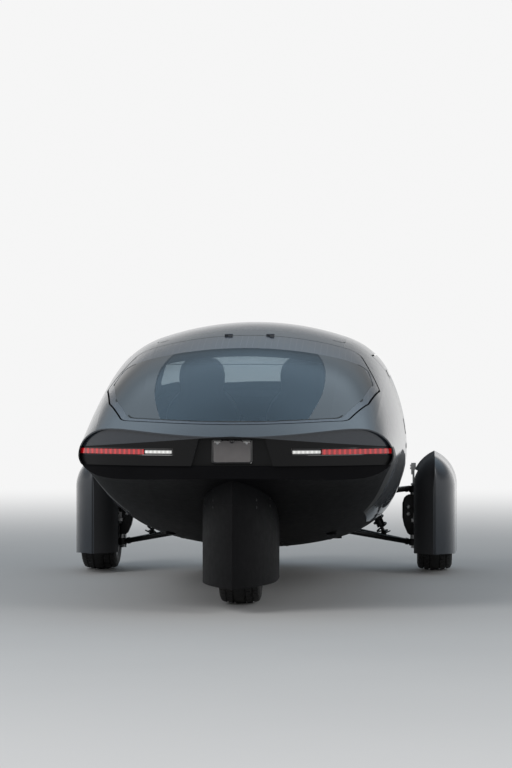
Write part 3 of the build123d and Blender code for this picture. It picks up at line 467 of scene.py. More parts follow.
def ring_faces(rings, looped):
    """Quads between neighbouring rings of one size."""
    count = len(rings[0])
    faces = []
    for i in range(len(rings) if looped else len(rings) - 1):
        a, b = i * count, (i + 1) % len(rings) * count
        faces += [(a + j, a + (j + 1) % count, b + (j + 1) % count, b + j) for j in range(count)]
    return faces


def loft(name, rings, finish, body="body", slot="trim", looped=False, sharp=35, smooth_steps=0):
    """A closed skin over rings of points; flat ends unless the rings loop."""
    count, last = len(rings[0]), len(rings) - 1
    faces = ring_faces(rings, looped)
    if not looped:
        faces += [tuple(range(count)), tuple(last * count + j for j in range(count))]
    points = [point for ring in rings for point in ring]
    return add_piece(name, points, faces, finish, body, sharp, smooth_steps)


def circle(steps, radius):
    """The points of a circle as (u, v)."""
    return [(radius * cos(2 * pi * k / steps), radius * sin(2 * pi * k / steps)) for k in range(steps)]


def spun(name, stations, steps, *rest, **more):
    """A loft of circles, each given as its middle, side, up and radius."""
    rings = [[middle + side * u + up * v for u, v in circle(steps, radius)]
             for middle, side, up, radius in stations]
    return loft(name, rings, *rest, **more)


# Direction, side and up of what is turned along an axis
AXES = {"X": ((1, 0, 0), (0, 1, 0), (0, 0, 1)), "Y": ((0, 1, 0), (-1, 0, 0), (0, 0, 1)),
        "Z": ((0, 0, 1), (0, 1, 0), (-1, 0, 0))}


def turned(name, profile, centre, finish, body="body", slot="trim", axis="X", steps=48, sharp=35):
    """A turned piece: profile of (place along the axis, radius)."""
    ahead, side, up = (Vector(way) for way in AXES[axis])
    stations = [(Vector(centre) + ahead * along, side, up, radius) for along, radius in profile]
    return spun(name, stations, steps, finish, body, slot, sharp=sharp)


def turned_on(name, profile, start, towards, finish, body="body", slot="trim", steps=32, sharp=35):
    """A turned piece along any direction: profile of (distance from the start, radius)."""
    towards = Vector(towards).normalized()
    side = towards.orthogonal().normalized()
    up = towards.cross(side)
    stations = [(Vector(start) + towards * along, side, up, radius) for along, radius in profile]
    return spun(name, stations, steps, finish, body, slot, sharp=sharp)


def hex_head(name, profile, start, towards, body):
    return turned_on(name, profile, start, towards, bare_alloy, body, "bare_alloy", steps=6, sharp=20)


def flipped(profile, sign=-1):
    """A profile that runs the other way along its axis."""
    return [(sign * along, radius) for along, radius in profile]


def frames(path, closed=False):
    """Direction, side and up at each point of a path, turned as little as possible."""
    count = len(path)
    found = []
    side = None
    for i, point in enumerate(path):
        after = path[(i + 1) % count] if closed or i + 1 < count else point
        before = path[i - 1] if closed or i else point
        ahead = (after - before).normalized()
        if side is None:
            side = ahead.orthogonal().normalized()
        side = (side - ahead * side.dot(ahead)).normalized()
        found.append((ahead, side, ahead.cross(side)))
    return found


def tube(name, path, radius, finish, body="body", slot="trim", closed=False, steps=12):
    """A round bar or hose; radius may change along it."""
    path = [Vector(point) for point in path]
    radii = radius if isinstance(radius, list) else [radius] * len(path)
    stations = [(point, side, up, r) for point, (_, side, up), r in zip(path, frames(path, closed), radii)]
    return spun(name, stations, steps, finish, body, slot, looped=closed)


def curve_through(points, steps=8):
    """A smooth path through a few points."""
    points = [Vector(point) for point in points]
    ends = [2 * points[0] - points[1], *points, 2 * points[-1] - points[-2]]
    path = []
    for a, b, c, d in zip(ends, ends[1:], ends[2:], ends[3:]):
        for k in range(steps):
            t = k / steps
            path.append(0.5 * (2 * b + (c - a) * t + (2 * a - 5 * b + 4 * c - d) * t * t
                               + (3 * b - a - 3 * c + d) * t ** 3))
    return path + [points[-1]]


def rounded(points, radius, steps=6):
    """A closed outline of 2-D points with round corners."""
    outline = []
    for i, point in enumerate(points):
        here = Vector(point)
        to_last = Vector(points[i - 1]) - here
        to_next = Vector(points[(i + 1) % len(points)]) - here
        half = to_last.angle(to_next) / 2
        reach = min(radius / tan(half), to_last.length * 0.49, to_next.length * 0.49)
        start, end = here + to_last.normalized() * reach, here + to_next.normalized() * reach
        for k in range(steps + 1):
            t = k / steps
            outline.append(start * (1 - t) ** 2 + here * 2 * t * (1 - t) + end * t ** 2)
    return outline


def outline_box(u, v, half_u, half_v, corner, steps=6):
    """A rounded rectangle round (u, v)."""
    low_u, high_u, low_v, high_v = u - half_u, u + half_u, v - half_v, v + half_v
    return rounded([(low_u, low_v), (high_u, low_v), (high_u, high_v), (low_u, high_v)], corner, steps)


def inset(outline, amount):
    """A closed outline moved inwards."""
    area = sum(a.x * b.y - b.x * a.y for a, b in zip(outline, outline[1:] + outline[:1]))
    moved = []
    for i, point in enumerate(outline):
        along = (outline[(i + 1) % len(outline)] - outline[i - 1]).normalized()
        inward = Vector((-along.y, along.x)) * (1 if area > 0 else -1)
        moved.append(point + inward * amount)
    return moved


def flat(u, v, height):
    return u, v, height


def slab(name, outline, low, high, edge, place, finish, body="body", slot="trim"):
    """A plate with eased edges: a 2-D outline between two heights, put in space by place(u, v, height)."""
    levels = [(inset(outline, edge), low), (outline, low + edge), (outline, high - edge),
              (inset(outline, edge * 0.3), high - edge * 0.3), (inset(outline, edge), high)]
    rings = [[Vector(place(p.x, p.y, height)) for p in loop] for loop, height in levels]
    return loft(name, rings, finish, body, slot, sharp=50)


class Skin:
    """The outer surface of CAD nodes, for placing what lies on it."""

    def __init__(self, *names):
        work = bmesh.new()
        for name in names:
            work.from_mesh(cad[name].data)
        bmesh.ops.remove_doubles(work, verts=work.verts, dist=1e-6)
        self.tree = BVHTree.FromBMesh(work)
        work.free()

    def hit(self, start, towards):
        point, normal, _, _ = self.tree.ray_cast(Vector(start), Vector(towards).normalized())
        if point is None:
            return None
        return point, normal if normal.dot(Vector(towards)) < 0 else -normal


BOW_SHARES = [1 - k / 5 for k in range(1, 10)]


def mirrored(side):
    return [(-u, v) for u, v in reversed(side)]


def bowed_outline(side, bow, corner):
    """A closed outline in plan from its right side, rear to front, with the front edge bowed forwards."""
    x, y = side[-1]
    front = [(x * share, y + bow * (1 - share ** 2)) for share in BOW_SHARES]
    return rounded([*side, *front, *mirrored(side)], corner)


SEAM_SIDE = 0.003           # how far beside a seam its two sides are looked for


def cast(outline, start, towards, skin):
    """A closed outline along a seam laid on the skin, as (point, normal): the middle of both its sides."""
    loop = []
    for first, second in zip(inset(outline, SEAM_SIDE), inset(outline, -SEAM_SIDE)):
        found = [hit for hit in (skin.hit(start(p.x, p.y), towards) for p in (first, second)) if hit]
        loop.append((sum((point for point, _ in found), Vector()) / len(found),
                     sum((normal for _, normal in found), Vector()).normalized()))
    return loop


def drafted(outline, start, towards, skin, draft):
    """As cast, for a cut that closes in as it goes deeper: each point moves in by its depth."""
    moved, step = outline, 0.01
    for _ in range(3):
        found = cast(moved, start, towards, skin)
        depths = [(point - Vector(start(p.x, p.y))).length for p, (point, _) in zip(moved, found)]
        moved = [point.lerp(inner, depth * tan(draft) / step)
                 for point, inner, depth in zip(outline, inset(outline, step), depths)]
    return cast(moved, start, towards, skin)


def even_loop(loop, step):
    """A closed loop of (point, normal) with points at an even step."""
    total = [0.0]
    for (a, _), (b, _) in zip(loop, loop[1:] + loop[:1]):
        total.append(total[-1] + (b - a).length)
    count = max(8, int(total[-1] / step))
    result, i = [], 0
    for k in range(count):
        want = total[-1] * k / count
        while total[i + 1] < want:
            i += 1
        (a, n), (b, m) = loop[i], loop[(i + 1) % len(loop)]
        t = (want - total[i]) / max(total[i + 1] - total[i], 1e-9)
        result.append((a.lerp(b, t), n.lerp(m, t).normalized()))
    return result


def bead(name, loop, half, proud, body="body"):
    """A low rubber bead along a closed loop on the skin."""
    loop = even_loop(loop, 0.012)
    section = ((-half, -0.001), (-half, proud * 0.4), (-half * 0.55, proud), (half * 0.55, proud),
               (half, proud * 0.4), (half, -0.001))
    rings = []
    for i, (point, normal) in enumerate(loop):
        along = (loop[(i + 1) % len(loop)][0] - loop[i - 1][0]).normalized()
        side = along.cross(normal).normalized()
        rings.append([point + side * u + normal * v for u, v in section])
    return loft(name, rings, seal_rubber, body, looped=True, sharp=60)


# Tyres with grooves and shoulder blocks
TREAD_PITCHES = 58
# Half section of a tyre: place across, radius, kind
TYRE_SECTION = (
    (0.0790, 0.2128, "bead"), (0.0850, 0.2150, "bead"), (0.0905, 0.2225, "wall"), (0.0975, 0.2330, "wall"),
    (0.1012, 0.2440, "wall"), (0.1022, 0.2445, "wall"), (0.1024, 0.2600, "wall"), (0.1008, 0.2740, "wall"),
    (0.0992, 0.2745, "wall"), (0.0965, 0.2845, "shoulder"), (0.0925, 0.2905, "shoulder"),
    (0.0850, 0.2945, "shoulder"), (0.0700, 0.2985, "shoulder"), (0.0660, 0.2992, "floor"),
    (0.0600, 0.3000, "floor"), (0.0590, 0.3002, "rib"), (0.0400, 0.3026, "rib"), (0.0340, 0.3031, "rib"),
    (0.0330, 0.3032, "floor"), (0.0250, 0.3038, "floor"), (0.0240, 0.3039, "centre"),
    (0.0080, 0.3048, "centre"),
)
GROOVE_DEPTH = 0.0065


def tyre(name, body, centre):
    """A tyre with grooves round it and cuts across its ribs and shoulders."""
    section = [*TYRE_SECTION, *((-across, radius, kind) for across, radius, kind in reversed(TYRE_SECTION))]
    stations = (0.0, 0.13, 0.15, 0.97)      # shares of a pitch; the first two bound the cut between blocks
    rings = []
    for pitch in range(TREAD_PITCHES):
        for k, share in enumerate(stations):
            ring = []
            for across, radius, kind in section:
                cut = k < 2 and (kind == "rib" or kind == "shoulder" and radius > 0.289)
                r = radius - GROOVE_DEPTH * (1 if kind == "floor" else 0.75 if cut else 0)
                skew = 0.10 * across
                angle = 2 * pi * (pitch + share) / TREAD_PITCHES + (skew if radius > 0.29 else 0)
                ring.append(Vector(centre) + Vector((across, r * cos(angle), r * sin(angle))))
            rings.append(ring)
    return loft(name, rings, rubber, body, "tyre", looped=True, sharp=28)


for place, (x, y) in WHEELS.items():
    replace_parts(tyre(f"tread_{place}", f"{place}_wheel", (x, y, TYRE_R)), f"tyre_{place}")

# Wheel nuts and caps: place outwards from the wheel's middle and radius
NUT = ((0.054, 0.010), (0.058, 0.0125), (0.064, 0.0125), (0.066, 0.010), (0.078, 0.0092), (0.080, 0.0065))
CAP = ((0.055, 0.034), (0.060, 0.036), (0.066, 0.034), (0.070, 0.026), (0.071, 0.012), (0.0705, 0.004))
NUT_CIRCLE_R = 0.050
for place, (x, y) in WHEELS.items():
    body, out = f"{place}_wheel", -1 if x < 0 else 1
    for k in range(5):
        angle = 2 * pi * (k + 0.5) / 5
        turned(f"{body}_nut_{k + 1}", flipped(NUT, out),
               (x, y + NUT_CIRCLE_R * cos(angle), TYRE_R + NUT_CIRCLE_R * sin(angle)),
               bare_alloy, body, "bare_alloy", steps=6, sharp=20)
    turned(f"{body}_cap", flipped(CAP, out), (x, y, TYRE_R), piano, body, "wheel_alloy")

# Rubber beads round the glass and the fixed panels: plan outlines, right side from rear to front
SCREEN_SIDE = ((0.500, 0.420), (0.662, 1.000), (0.430, 1.250))
ROOF_SIDE = ((0.500, -0.440), (0.500, 0.360))
HOOD_SIDE = ((0.400, 1.440), (0.170, 1.960))
HATCH_SIDE = ((0.545, lean_point(-1.915, 0.925)), (0.640, lean_point(-1.560, 1.000)),
              (0.690, lean_point(-1.150, 1.061)), (0.575, lean_point(-0.618, 1.357)))
HATCH_RIM = 0.030
HATCH_BAND = 0.330
GLASS_CORNER = 0.060
SCREEN_BOW = 0.120
outer_skin = Skin("body_shell", "windscreen", "roof_panel", "hood", "hatch_frame", "hatch_glass",
                  "nose_bumper")
for name, side, bow, corner, half, proud in (
    ("windscreen_seal", SCREEN_SIDE, SCREEN_BOW, GLASS_CORNER, 0.0060, 0.0016),
    ("roof_seal", ROOF_SIDE, 0.0, GLASS_CORNER, 0.0030, 0.0009),
    ("hood_seal", HOOD_SIDE, 0.040, 0.070, 0.0030, 0.0009),
):
    edge = cast(bowed_outline(side, bow, corner), lambda x, y: (x, y, 2.0), DOWN, outer_skin)
    bead(name, edge, half, proud)


def lean_above(across, along):
    """A start for casting down the hatch's leaning direction."""
    up = Vector((0, -sin(HATCH_LEAN), cos(HATCH_LEAN)))
    return Vector((across, along * cos(HATCH_LEAN), along * sin(HATCH_LEAN))) + up * 2.0


# The hatch's glass: its side comes in at the tail's corner, and its tail is bowed
glass_tail = lean_point(-2.045, 0.912) + HATCH_RIM
side = [(u - HATCH_RIM, v) for u, v in HATCH_SIDE[:-1]]
side.append((HATCH_SIDE[2][0] - 0.062, HATCH_SIDE[3][1] - HATCH_BAND))
corner_x, corner_v = side[0][0] - 0.008, side[0][1] + 0.018
side[0] = (corner_x, corner_v)
tail_bow = [(-corner_x * share, glass_tail + (corner_v - glass_tail) * share ** 2) for share in BOW_SHARES]
glass_edge = [*side, *mirrored(side), *tail_bow]
edge = cast(rounded(glass_edge, GLASS_CORNER), lean_above, (0, sin(HATCH_LEAN), -cos(HATCH_LEAN)),
            Skin("hatch_frame", "hatch_glass"))
bead("hatch_glass_seal", edge, 0.0045, 0.0012, "hatch")
for side, out in SIDES:
    edge = drafted(rounded(WINDOW, GLASS_CORNER), lambda y, z, out=out: (out * DOOR_PLANE_X, y, z),
                   (-out, 0, 0), Skin(f"door_{side}", f"door_glass_{side}"), DOOR_DRAFT)
    bead(f"window_seal_{side}", edge, 0.0060, 0.0016, f"{side}_door")

# Seats: a dished back with bolsters, a head pad, a cushion and a hard shell behind
SEAT_BASE_Z = 0.4543
BACK_FOOT = Vector((0, -0.066, SEAT_BASE_Z + 0.130))
BACK_UP = Vector((0, -0.249, 0.9686))
BACK_OUT = Vector((0, 0.9686, 0.249))
CUSHION_ALONG = Vector((0, 0.9985, 0.055))
CUSHION_OUT = Vector((0, -0.055, 0.9985))
# Of the back: place up it, half width, half thickness, depth of the dish
BACK_ROWS = ((0.000, 0.150, 0.040, 0.010), (0.040, 0.186, 0.052, 0.020), (0.160, 0.200, 0.056, 0.030),
             (0.300, 0.206, 0.054, 0.034), (0.400, 0.196, 0.050, 0.026), (0.460, 0.166, 0.044, 0.014),
             (0.505, 0.124, 0.036, 0.006))
HEAD_ROWS = ((0.515, 0.104, 0.034, 0.0), (0.545, 0.120, 0.044, 0.004), (0.600, 0.124, 0.048, 0.006),
             (0.650, 0.112, 0.046, 0.004), (0.680, 0.084, 0.038, 0.0), (0.692, 0.040, 0.022, 0.0))
# Of the cushion: place forwards, half width, half thickness, depth of the dish
CUSHION_ROWS = ((0.000, 0.160, 0.040, 0.004), (0.030, 0.190, 0.052, 0.014), (0.140, 0.200, 0.054, 0.024),
                (0.300, 0.204, 0.053, 0.020), (0.400, 0.200, 0.050, 0.010), (0.450, 0.184, 0.046, 0.002),
                (0.470, 0.150, 0.034, 0.0))


def between(rows, place):
    """The row of a table at this place, eased between its neighbours."""
    for first, second in zip(rows, rows[1:]):
        if place <= second[0]:
            break
    share = min(max((place - first[0]) / (second[0] - first[0]), 0.0), 1.0)
    return [a + (b - a) * share for a, b in zip(first[1:], second[1:])]

CHANNEL_HALF = 0.006
CHANNEL_DEPTH = 0.005
SEAM_DEPTH = 0.006          # of the seam beside each bolster
SEAM_PLACE = 0.62           # its share of the half width


def pad(name, rows, foot, along, out, channels, finish=hide, slot="seat_cover", steps=40, sides=40):
    """A crowned pad along a line: square-round sections with a dished face and sewn channels."""
    start, end = rows[0][0], rows[-1][0]
    rings = []
    for step in range(steps + 1):
        place = start + (end - start) * 0.5 * (1 - cos(pi * step / steps))
        wide, thick, dish = between(rows, place)
        groove = sum(exp(-((place - channel) / CHANNEL_HALF) ** 2) for channel in channels)
        ring = []
        for k in range(sides):
            angle = 2 * pi * (k + 0.5) / sides
            u = abs(cos(angle)) ** 0.55 * (1 if cos(angle) > 0 else -1)
            v = abs(sin(angle)) ** 0.6 * (1 if sin(angle) > 0 else -1)
            height = thick * v
            if v > 0:
                height -= (dish + CHANNEL_DEPTH * groove) * (1 - abs(u) ** 3.5)
                height -= SEAM_DEPTH * exp(-((abs(u) - SEAM_PLACE) / 0.035) ** 2)
            ring.append(foot + along * place + Vector((wide * u, 0, 0)) + out * height)
        rings.append(ring)
    return loft(name, rings, finish, "body", slot, sharp=0, smooth_steps=1)


def piping(name, rows, foot, along, out, lift):
    """A sewn cord up both sides of a pad and over its end."""
    path = []
    for side in (-1, 1):
        run = []
        for step in range(17):
            place = rows[0][0] + (rows[-1][0] - rows[0][0]) * step / 16
            wide, thick, _ = between(rows, place)
            run.append(foot + along * place + Vector((side * wide * 0.99, 0, 0)) + out * thick * lift)
        path += run if side < 0 else run[::-1]
    return tube(name, path, 0.0028, seal_rubber, slot="seat_cover", steps=8)


def seat(name, node, x):
    foot = BACK_FOOT + Vector((x, 0, 0)) - BACK_OUT * 0.058
    back = pad(f"{name}_back", BACK_ROWS, foot, BACK_UP, BACK_OUT, (0.10, 0.17, 0.24, 0.31))
    head = pad(f"{name}_head", HEAD_ROWS, foot, BACK_UP, BACK_OUT, (0.60,), steps=20)
    front = Vector((x, -0.125, SEAT_BASE_Z + 0.070))
    cushion = pad(f"{name}_cushion", CUSHION_ROWS, front, CUSHION_ALONG, CUSHION_OUT, (0.15, 0.23, 0.31))
    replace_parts(back, node)
    piping(f"{name}_back_piping", BACK_ROWS, foot, BACK_UP, BACK_OUT, 0.30)
    piping(f"{name}_cushion_piping", CUSHION_ROWS, front, CUSHION_ALONG, CUSHION_OUT, 0.25)
    shell_rows = [(place, wide * 0.97, 0.016, 0.0) for place, wide, _, _ in BACK_ROWS + HEAD_ROWS[1:5]]
    pad(f"{name}_shell", shell_rows, foot - BACK_OUT * 0.052, BACK_UP, -BACK_OUT, (), seat_shell, "trim",
        steps=36)
    slab(f"{name}_base", outline_box(x, 0.09, 0.17, 0.22, 0.03), SEAT_BASE_Z + 0.002, SEAT_BASE_Z + 0.030,
         0.004, flat, soft_trim)
    for k, side in enumerate((-1, 1)):
        slab(f"{name}_rail_{k + 1}", outline_box(x + side * 0.14, 0.09, 0.016, 0.26, 0.006, 3), SEAT_BASE_Z,
             SEAT_BASE_Z + 0.012, 0.002, flat, black_steel, slot="black_steel")
    inboard = -1 if x > 0 else 1
    buckle_x = x + inboard * 0.205
    stalk = curve_through([(x + inboard * 0.180, -0.10, SEAT_BASE_Z + 0.02),
                           (x + inboard * 0.200, -0.09, SEAT_BASE_Z + 0.10),
                           (buckle_x, -0.07, SEAT_BASE_Z + 0.165)])
    tube(f"{name}_buckle_stalk", stalk, 0.007, seal_rubber)
    slab(f"{name}_buckle", outline_box(0, 0, 0.014, 0.032, 0.005, 3), buckle_x - 0.010, buckle_x + 0.010,
         0.003, lambda u, v, h: (h, -0.066 + u + v * 0.25, SEAT_BASE_Z + 0.190 + v), soft_trim)


seat("seat_pads_right", "seat_right", SEAT_X)
seat("seat_pads_left", "seat_left", -SEAT_X)


def ribbon(name, path, facing, half, thick, finish):
    """Flat webbing along a path; facing is the way its broad side looks."""
    path = [Vector(point) for point in path]
    rings = []
    for i, point in enumerate(path):
        ahead = (path[min(i + 1, len(path) - 1)] - path[max(i - 1, 0)]).normalized()
        side = ahead.cross(Vector(facing)).normalized()
        up = side.cross(ahead)
        rings.append([point + side * (half * u) + up * (thick * v) for u, v in (
            (-1, -0.3), (-0.9, -0.5), (0.9, -0.5), (1, -0.3), (1, 0.3), (0.9, 0.5), (-0.9, 0.5), (-1, 0.3))])
    return loft(name, rings, finish, sharp=60)


# Belts parked along the rear pillars, with their guides and reels
PILLAR_Y = -0.46
cabin_wall = Skin("body_shell")
for name, out in (("belt_right", 1), ("belt_left", -1)):
    wall = []
    for z in (1.08, 1.00, 0.90, 0.80, 0.70, 0.62, 0.56):
        point, normal = cabin_wall.hit((0, PILLAR_Y - 0.10, z), (out, 0, 0))
        wall.append(point + normal * 0.008)
    ribbon(f"{name}_webbing", curve_through(wall, 4), (1, 0, 0), 0.024, 0.0016, webbing)
    for part, place, long in (("guide", wall[0], 0.032), ("reel", wall[-1], 0.045)):
        slab(f"{name}_{part}", outline_box(0, 0, 0.034, long / 2, 0.010, 4), -0.007, 0.008, 0.003,
             lambda u, v, h, place=place, out=out: (place.x - out * h, place.y + u, place.z + v), soft_trim)

# Tail: lamp bezels, plate frame with its screws, plate lamps and camera
RECESS_Y = -2.115
PLATE_Z = 0.782
PLATE_FACE_Y = RECESS_Y - 0.0034
PLATE_LAMP_Y = -2.1425
PLATE_SCREW_Z = 0.822
PLATE_SCREW = ((-0.002, 0.0030), (0.0005, 0.0066), (0.0022, 0.0066), (0.0034, 0.0050), (0.0036, 0.0022),
               (0.0024, 0.0020))


def tail_point(x, z, radius=FASCIA_R):
    return Vector((x, TAIL_AXIS_Y - sqrt(radius ** 2 - x * x), z))


for name, side in SIDES:
    low, high = LAMP_Z - LAMP_HALF_H - 0.004, LAMP_Z + LAMP_HALF_H + 0.004
    across = [REVERSE_X[0] - 0.005 + (TAIL_LAMP_X[1] + 0.007 - REVERSE_X[0]) * k / 24 for k in range(25)]
    path = [tail_point(side * x, high) for x in across]
    path += [tail_point(side * x, low) for x in reversed(across)]
    tube(f"lamp_bezel_{name}", path, 0.0032, piano, slot="black_composite", closed=True, steps=8)

frame_outline = outline_box(0, 0, 0.096, 0.058, 0.012)
slab("plate_frame", frame_outline, -0.0002, 0.0022, 0.0008,
     lambda u, v, h: (u, RECESS_Y - h + 0.0002, PLATE_Z + v), piano, slot="black_composite")
tube("plate_frame_rim", [Vector((p.x, RECESS_Y - 0.003, PLATE_Z + p.y)) for p in frame_outline], 0.0032,
     piano, slot="black_composite", closed=True, steps=8)
for k, x in enumerate((-0.070, 0.070)):
    turned(f"plate_screw_{k + 1}", flipped(PLATE_SCREW), (x, PLATE_FACE_Y, PLATE_SCREW_Z), bare_alloy,
           slot="bare_alloy", axis="Y", steps=24)
    slab(f"plate_lamp_{k + 1}", outline_box(x, PLATE_LAMP_Y, 0.022, 0.0125, 0.006, 4), 0.829, 0.8418, 0.003,
         flat, piano)
    slab(f"plate_lamp_lens_{k + 1}", outline_box(x, PLATE_LAMP_Y, 0.016, 0.0085, 0.004, 4), 0.827, 0.830,
         0.0008, flat, white_lens, slot="clear_lens")
turned("tail_camera", flipped(
    ((-0.016, 0.010), (0.008, 0.011), (0.012, 0.010), (0.0125, 0.0075), (0.011, 0.0072), (0.0112, 0.0065),
     (0.0140, 0.0045), (0.0146, 0.0015))), (0, -2.140, 0.831), piano, axis="Y", steps=32)


def conform(name, outline, start, towards, skin, proud, edge, finish, body, slot="trim"):
    """A low plate that follows the skin: its outline in (u, v) is cast on the skin from start(u, v)."""
    middle = sum(outline, Vector((0, 0))) / len(outline)
    top = inset(outline, edge)
    loops = [(outline, -0.0008), (outline, proud * 0.55), (inset(outline, edge * 0.35), proud * 0.9),
             (top, proud)]
    for row in range(1, 5):
        loops.append(([middle + (point - middle) * (1 - row / 4.5) for point in top], proud))
    rings = []
    for loop, lift in loops:
        found = [skin.hit(start(point.x, point.y), towards) for point in loop]
        rings.append([point + normal * lift for point, normal in found])
    return loft(name, rings, finish, body, slot, sharp=50)


# Doors: flush handles outside; armrest, pull, speaker and kick plate inside
for side, out in SIDES:
    door_skin = Skin(f"door_{side}")
    body = f"{side}_door"
    beside = lambda u, v, out=out: (out * 1.2, u, v)
    within = lambda u, v, out=out: (out * 0.30, u, v)
    outwards = (out, 0, 0)
    for name, box, start, way, proud, edge, finish, slot in (
        ("handle_pocket", (-0.315, 0.772, 0.084, 0.0185, 0.0175), beside, -out, 0.0007, 0.0012, piano,
         "black_composite"),
        ("handle", (-0.315, 0.772, 0.078, 0.0135, 0.0125), beside, -out, 0.0022, 0.0020, paint, "paint"),
        ("armrest", (0.06, 0.690, 0.225, 0.034, 0.030), within, out, 0.038, 0.010, soft_trim, "trim"),
        ("speaker", (0.42, 0.575, 0.078, 0.078, 0.076, 8), within, out, 0.007, 0.004, speaker_mesh, "trim"),
        ("kick_plate", (0.02, 0.520, 0.30, 0.050, 0.018), within, out, 0.004, 0.003, carpet, "trim"),
    ):
        conform(f"{name}_{side}", outline_box(*box), start, (way, 0, 0), door_skin, proud, edge, finish, body,
                slot)
    pull = [door_skin.hit(within(y, 0.760), outwards) for y in (-0.02, 0.01, 0.06, 0.11, 0.14)]
    lifts = (0.0, 0.022, 0.028, 0.022, 0.0)
    tube(f"door_pull_{side}", curve_through([p + n * lift for (p, n), lift in zip(pull, lifts)]), 0.0075,
         bare_alloy, body, "bare_alloy")

# Wiper, parked along the foot of the windscreen
screen_skin = Skin("windscreen", "body_shell")


def screen_foot(x, back):
    """A place behind the windscreen's lower edge, and its normal."""
    half, y = SCREEN_SIDE[-1]
    return screen_skin.hit((x, y + SCREEN_BOW * (1 - (x / half) ** 2) - back, 2), DOWN)


blade = [screen_foot(0.22 - 0.50 * k / 24, 0.045) for k in range(25)]
loft("wiper_blade", [[p + n * h + Vector((0, w, 0)) for w, h in (
    (-0.0015, 0.0005), (-0.0035, 0.007), (-0.0065, 0.010), (-0.003, 0.0165), (0.004, 0.0165), (0.0065, 0.010),
    (0.0035, 0.007), (0.0015, 0.0005))] for p, n in blade], seal_rubber)
pivot, pivot_up = screen_foot(0.30, -0.022)
middle, middle_up = blade[11]
arm_path = curve_through([pivot + pivot_up * 0.020, pivot.lerp(middle, 0.3) + pivot_up * 0.034,
                          pivot.lerp(middle, 0.7) + middle_up * 0.032, middle + middle_up * 0.017])
tube("wiper_arm", arm_path, [0.0085 - 0.004 * k / (len(arm_path) - 1) for k in range(len(arm_path))],
     black_steel, slot="black_steel")
turned("wiper_pivot", ((-0.006, 0.016), (0.010, 0.016), (0.024, 0.013), (0.030, 0.009), (0.031, 0.003)),
       pivot, piano, axis="Z", steps=32)

STUD_SIDES = 12


def studs(name, spots, radius, lift):
    """Small flush screws as one piece, each at a (point, normal) of the skin."""
    points, faces = [], []
    rows = ((radius, -0.0008), (radius, lift * 0.6), (radius * 0.85, lift), (radius * 0.42, lift),
            (radius * 0.38, lift * 0.3))
    for point, normal in filter(None, spots):
        side = normal.orthogonal().normalized()
        up = normal.cross(side)
        rings = [[point + normal * high + side * u + up * v for u, v in circle(STUD_SIDES, wide)]
                 for wide, high in rows]
        ends = [tuple(range(STUD_SIDES)), tuple((len(rows) - 1) * STUD_SIDES + k for k in range(STUD_SIDES))]
        faces += [tuple(len(points) + index for index in face) for face in ring_faces(rings, False) + ends]
        points += sum(rings, [])
    return add_piece(name, points, faces, black_steel)


for name, skin, z in (("cover_screws", Skin("wheel_cover"), 0.506), ("keel_screws", Skin("keel"), 0.542)):
    studs(name, [skin.hit((side * 0.6, -1.90 + 0.20 * k, z), (-side, 0, 0))
                 for side in (1, -1) for k in range(6)], 0.0075, 0.0016)
belly_skin = Skin("belly_pan")
studs("belly_screws", [belly_skin.hit((side * x, y, 0), (0, 0, 1))
                       for side in (1, -1) for y in (-0.55, -0.25, 0.05, 0.35, 0.65, 0.95, 1.25, 1.55)
                       for x in (0.16, 0.40 - 0.06 * max(0, y - 0.6))], 0.009, 0.0018)

# Front running gear
KINGPIN_X = 0.862
UPPER_JOINT_Z = 0.478
LOWER_JOINT_Z = 0.160
JOINT_HALF = 0.017
# Of each arm: its outer joint's height, where its front leg starts, the leg's radius
ARMS = (("lower", LOWER_JOINT_Z, Vector((0.330, 0.200, 0.262)), 0.015),
        ("upper", UPPER_JOINT_Z, Vector((0.520, 0.120, 0.436)), 0.011))
# Of the upright: height, inner side, half length; its outer side is plain
UPRIGHT_ROWS = ((0.206, 0.838, 0.022), (0.216, 0.826, 0.027), (0.262, 0.806, 0.032), (0.310, 0.796, 0.036),
                (0.392, 0.796, 0.036), (0.424, 0.806, 0.032), (0.438, 0.820, 0.027), (0.444, 0.834, 0.022))
UPRIGHT_X = 0.878
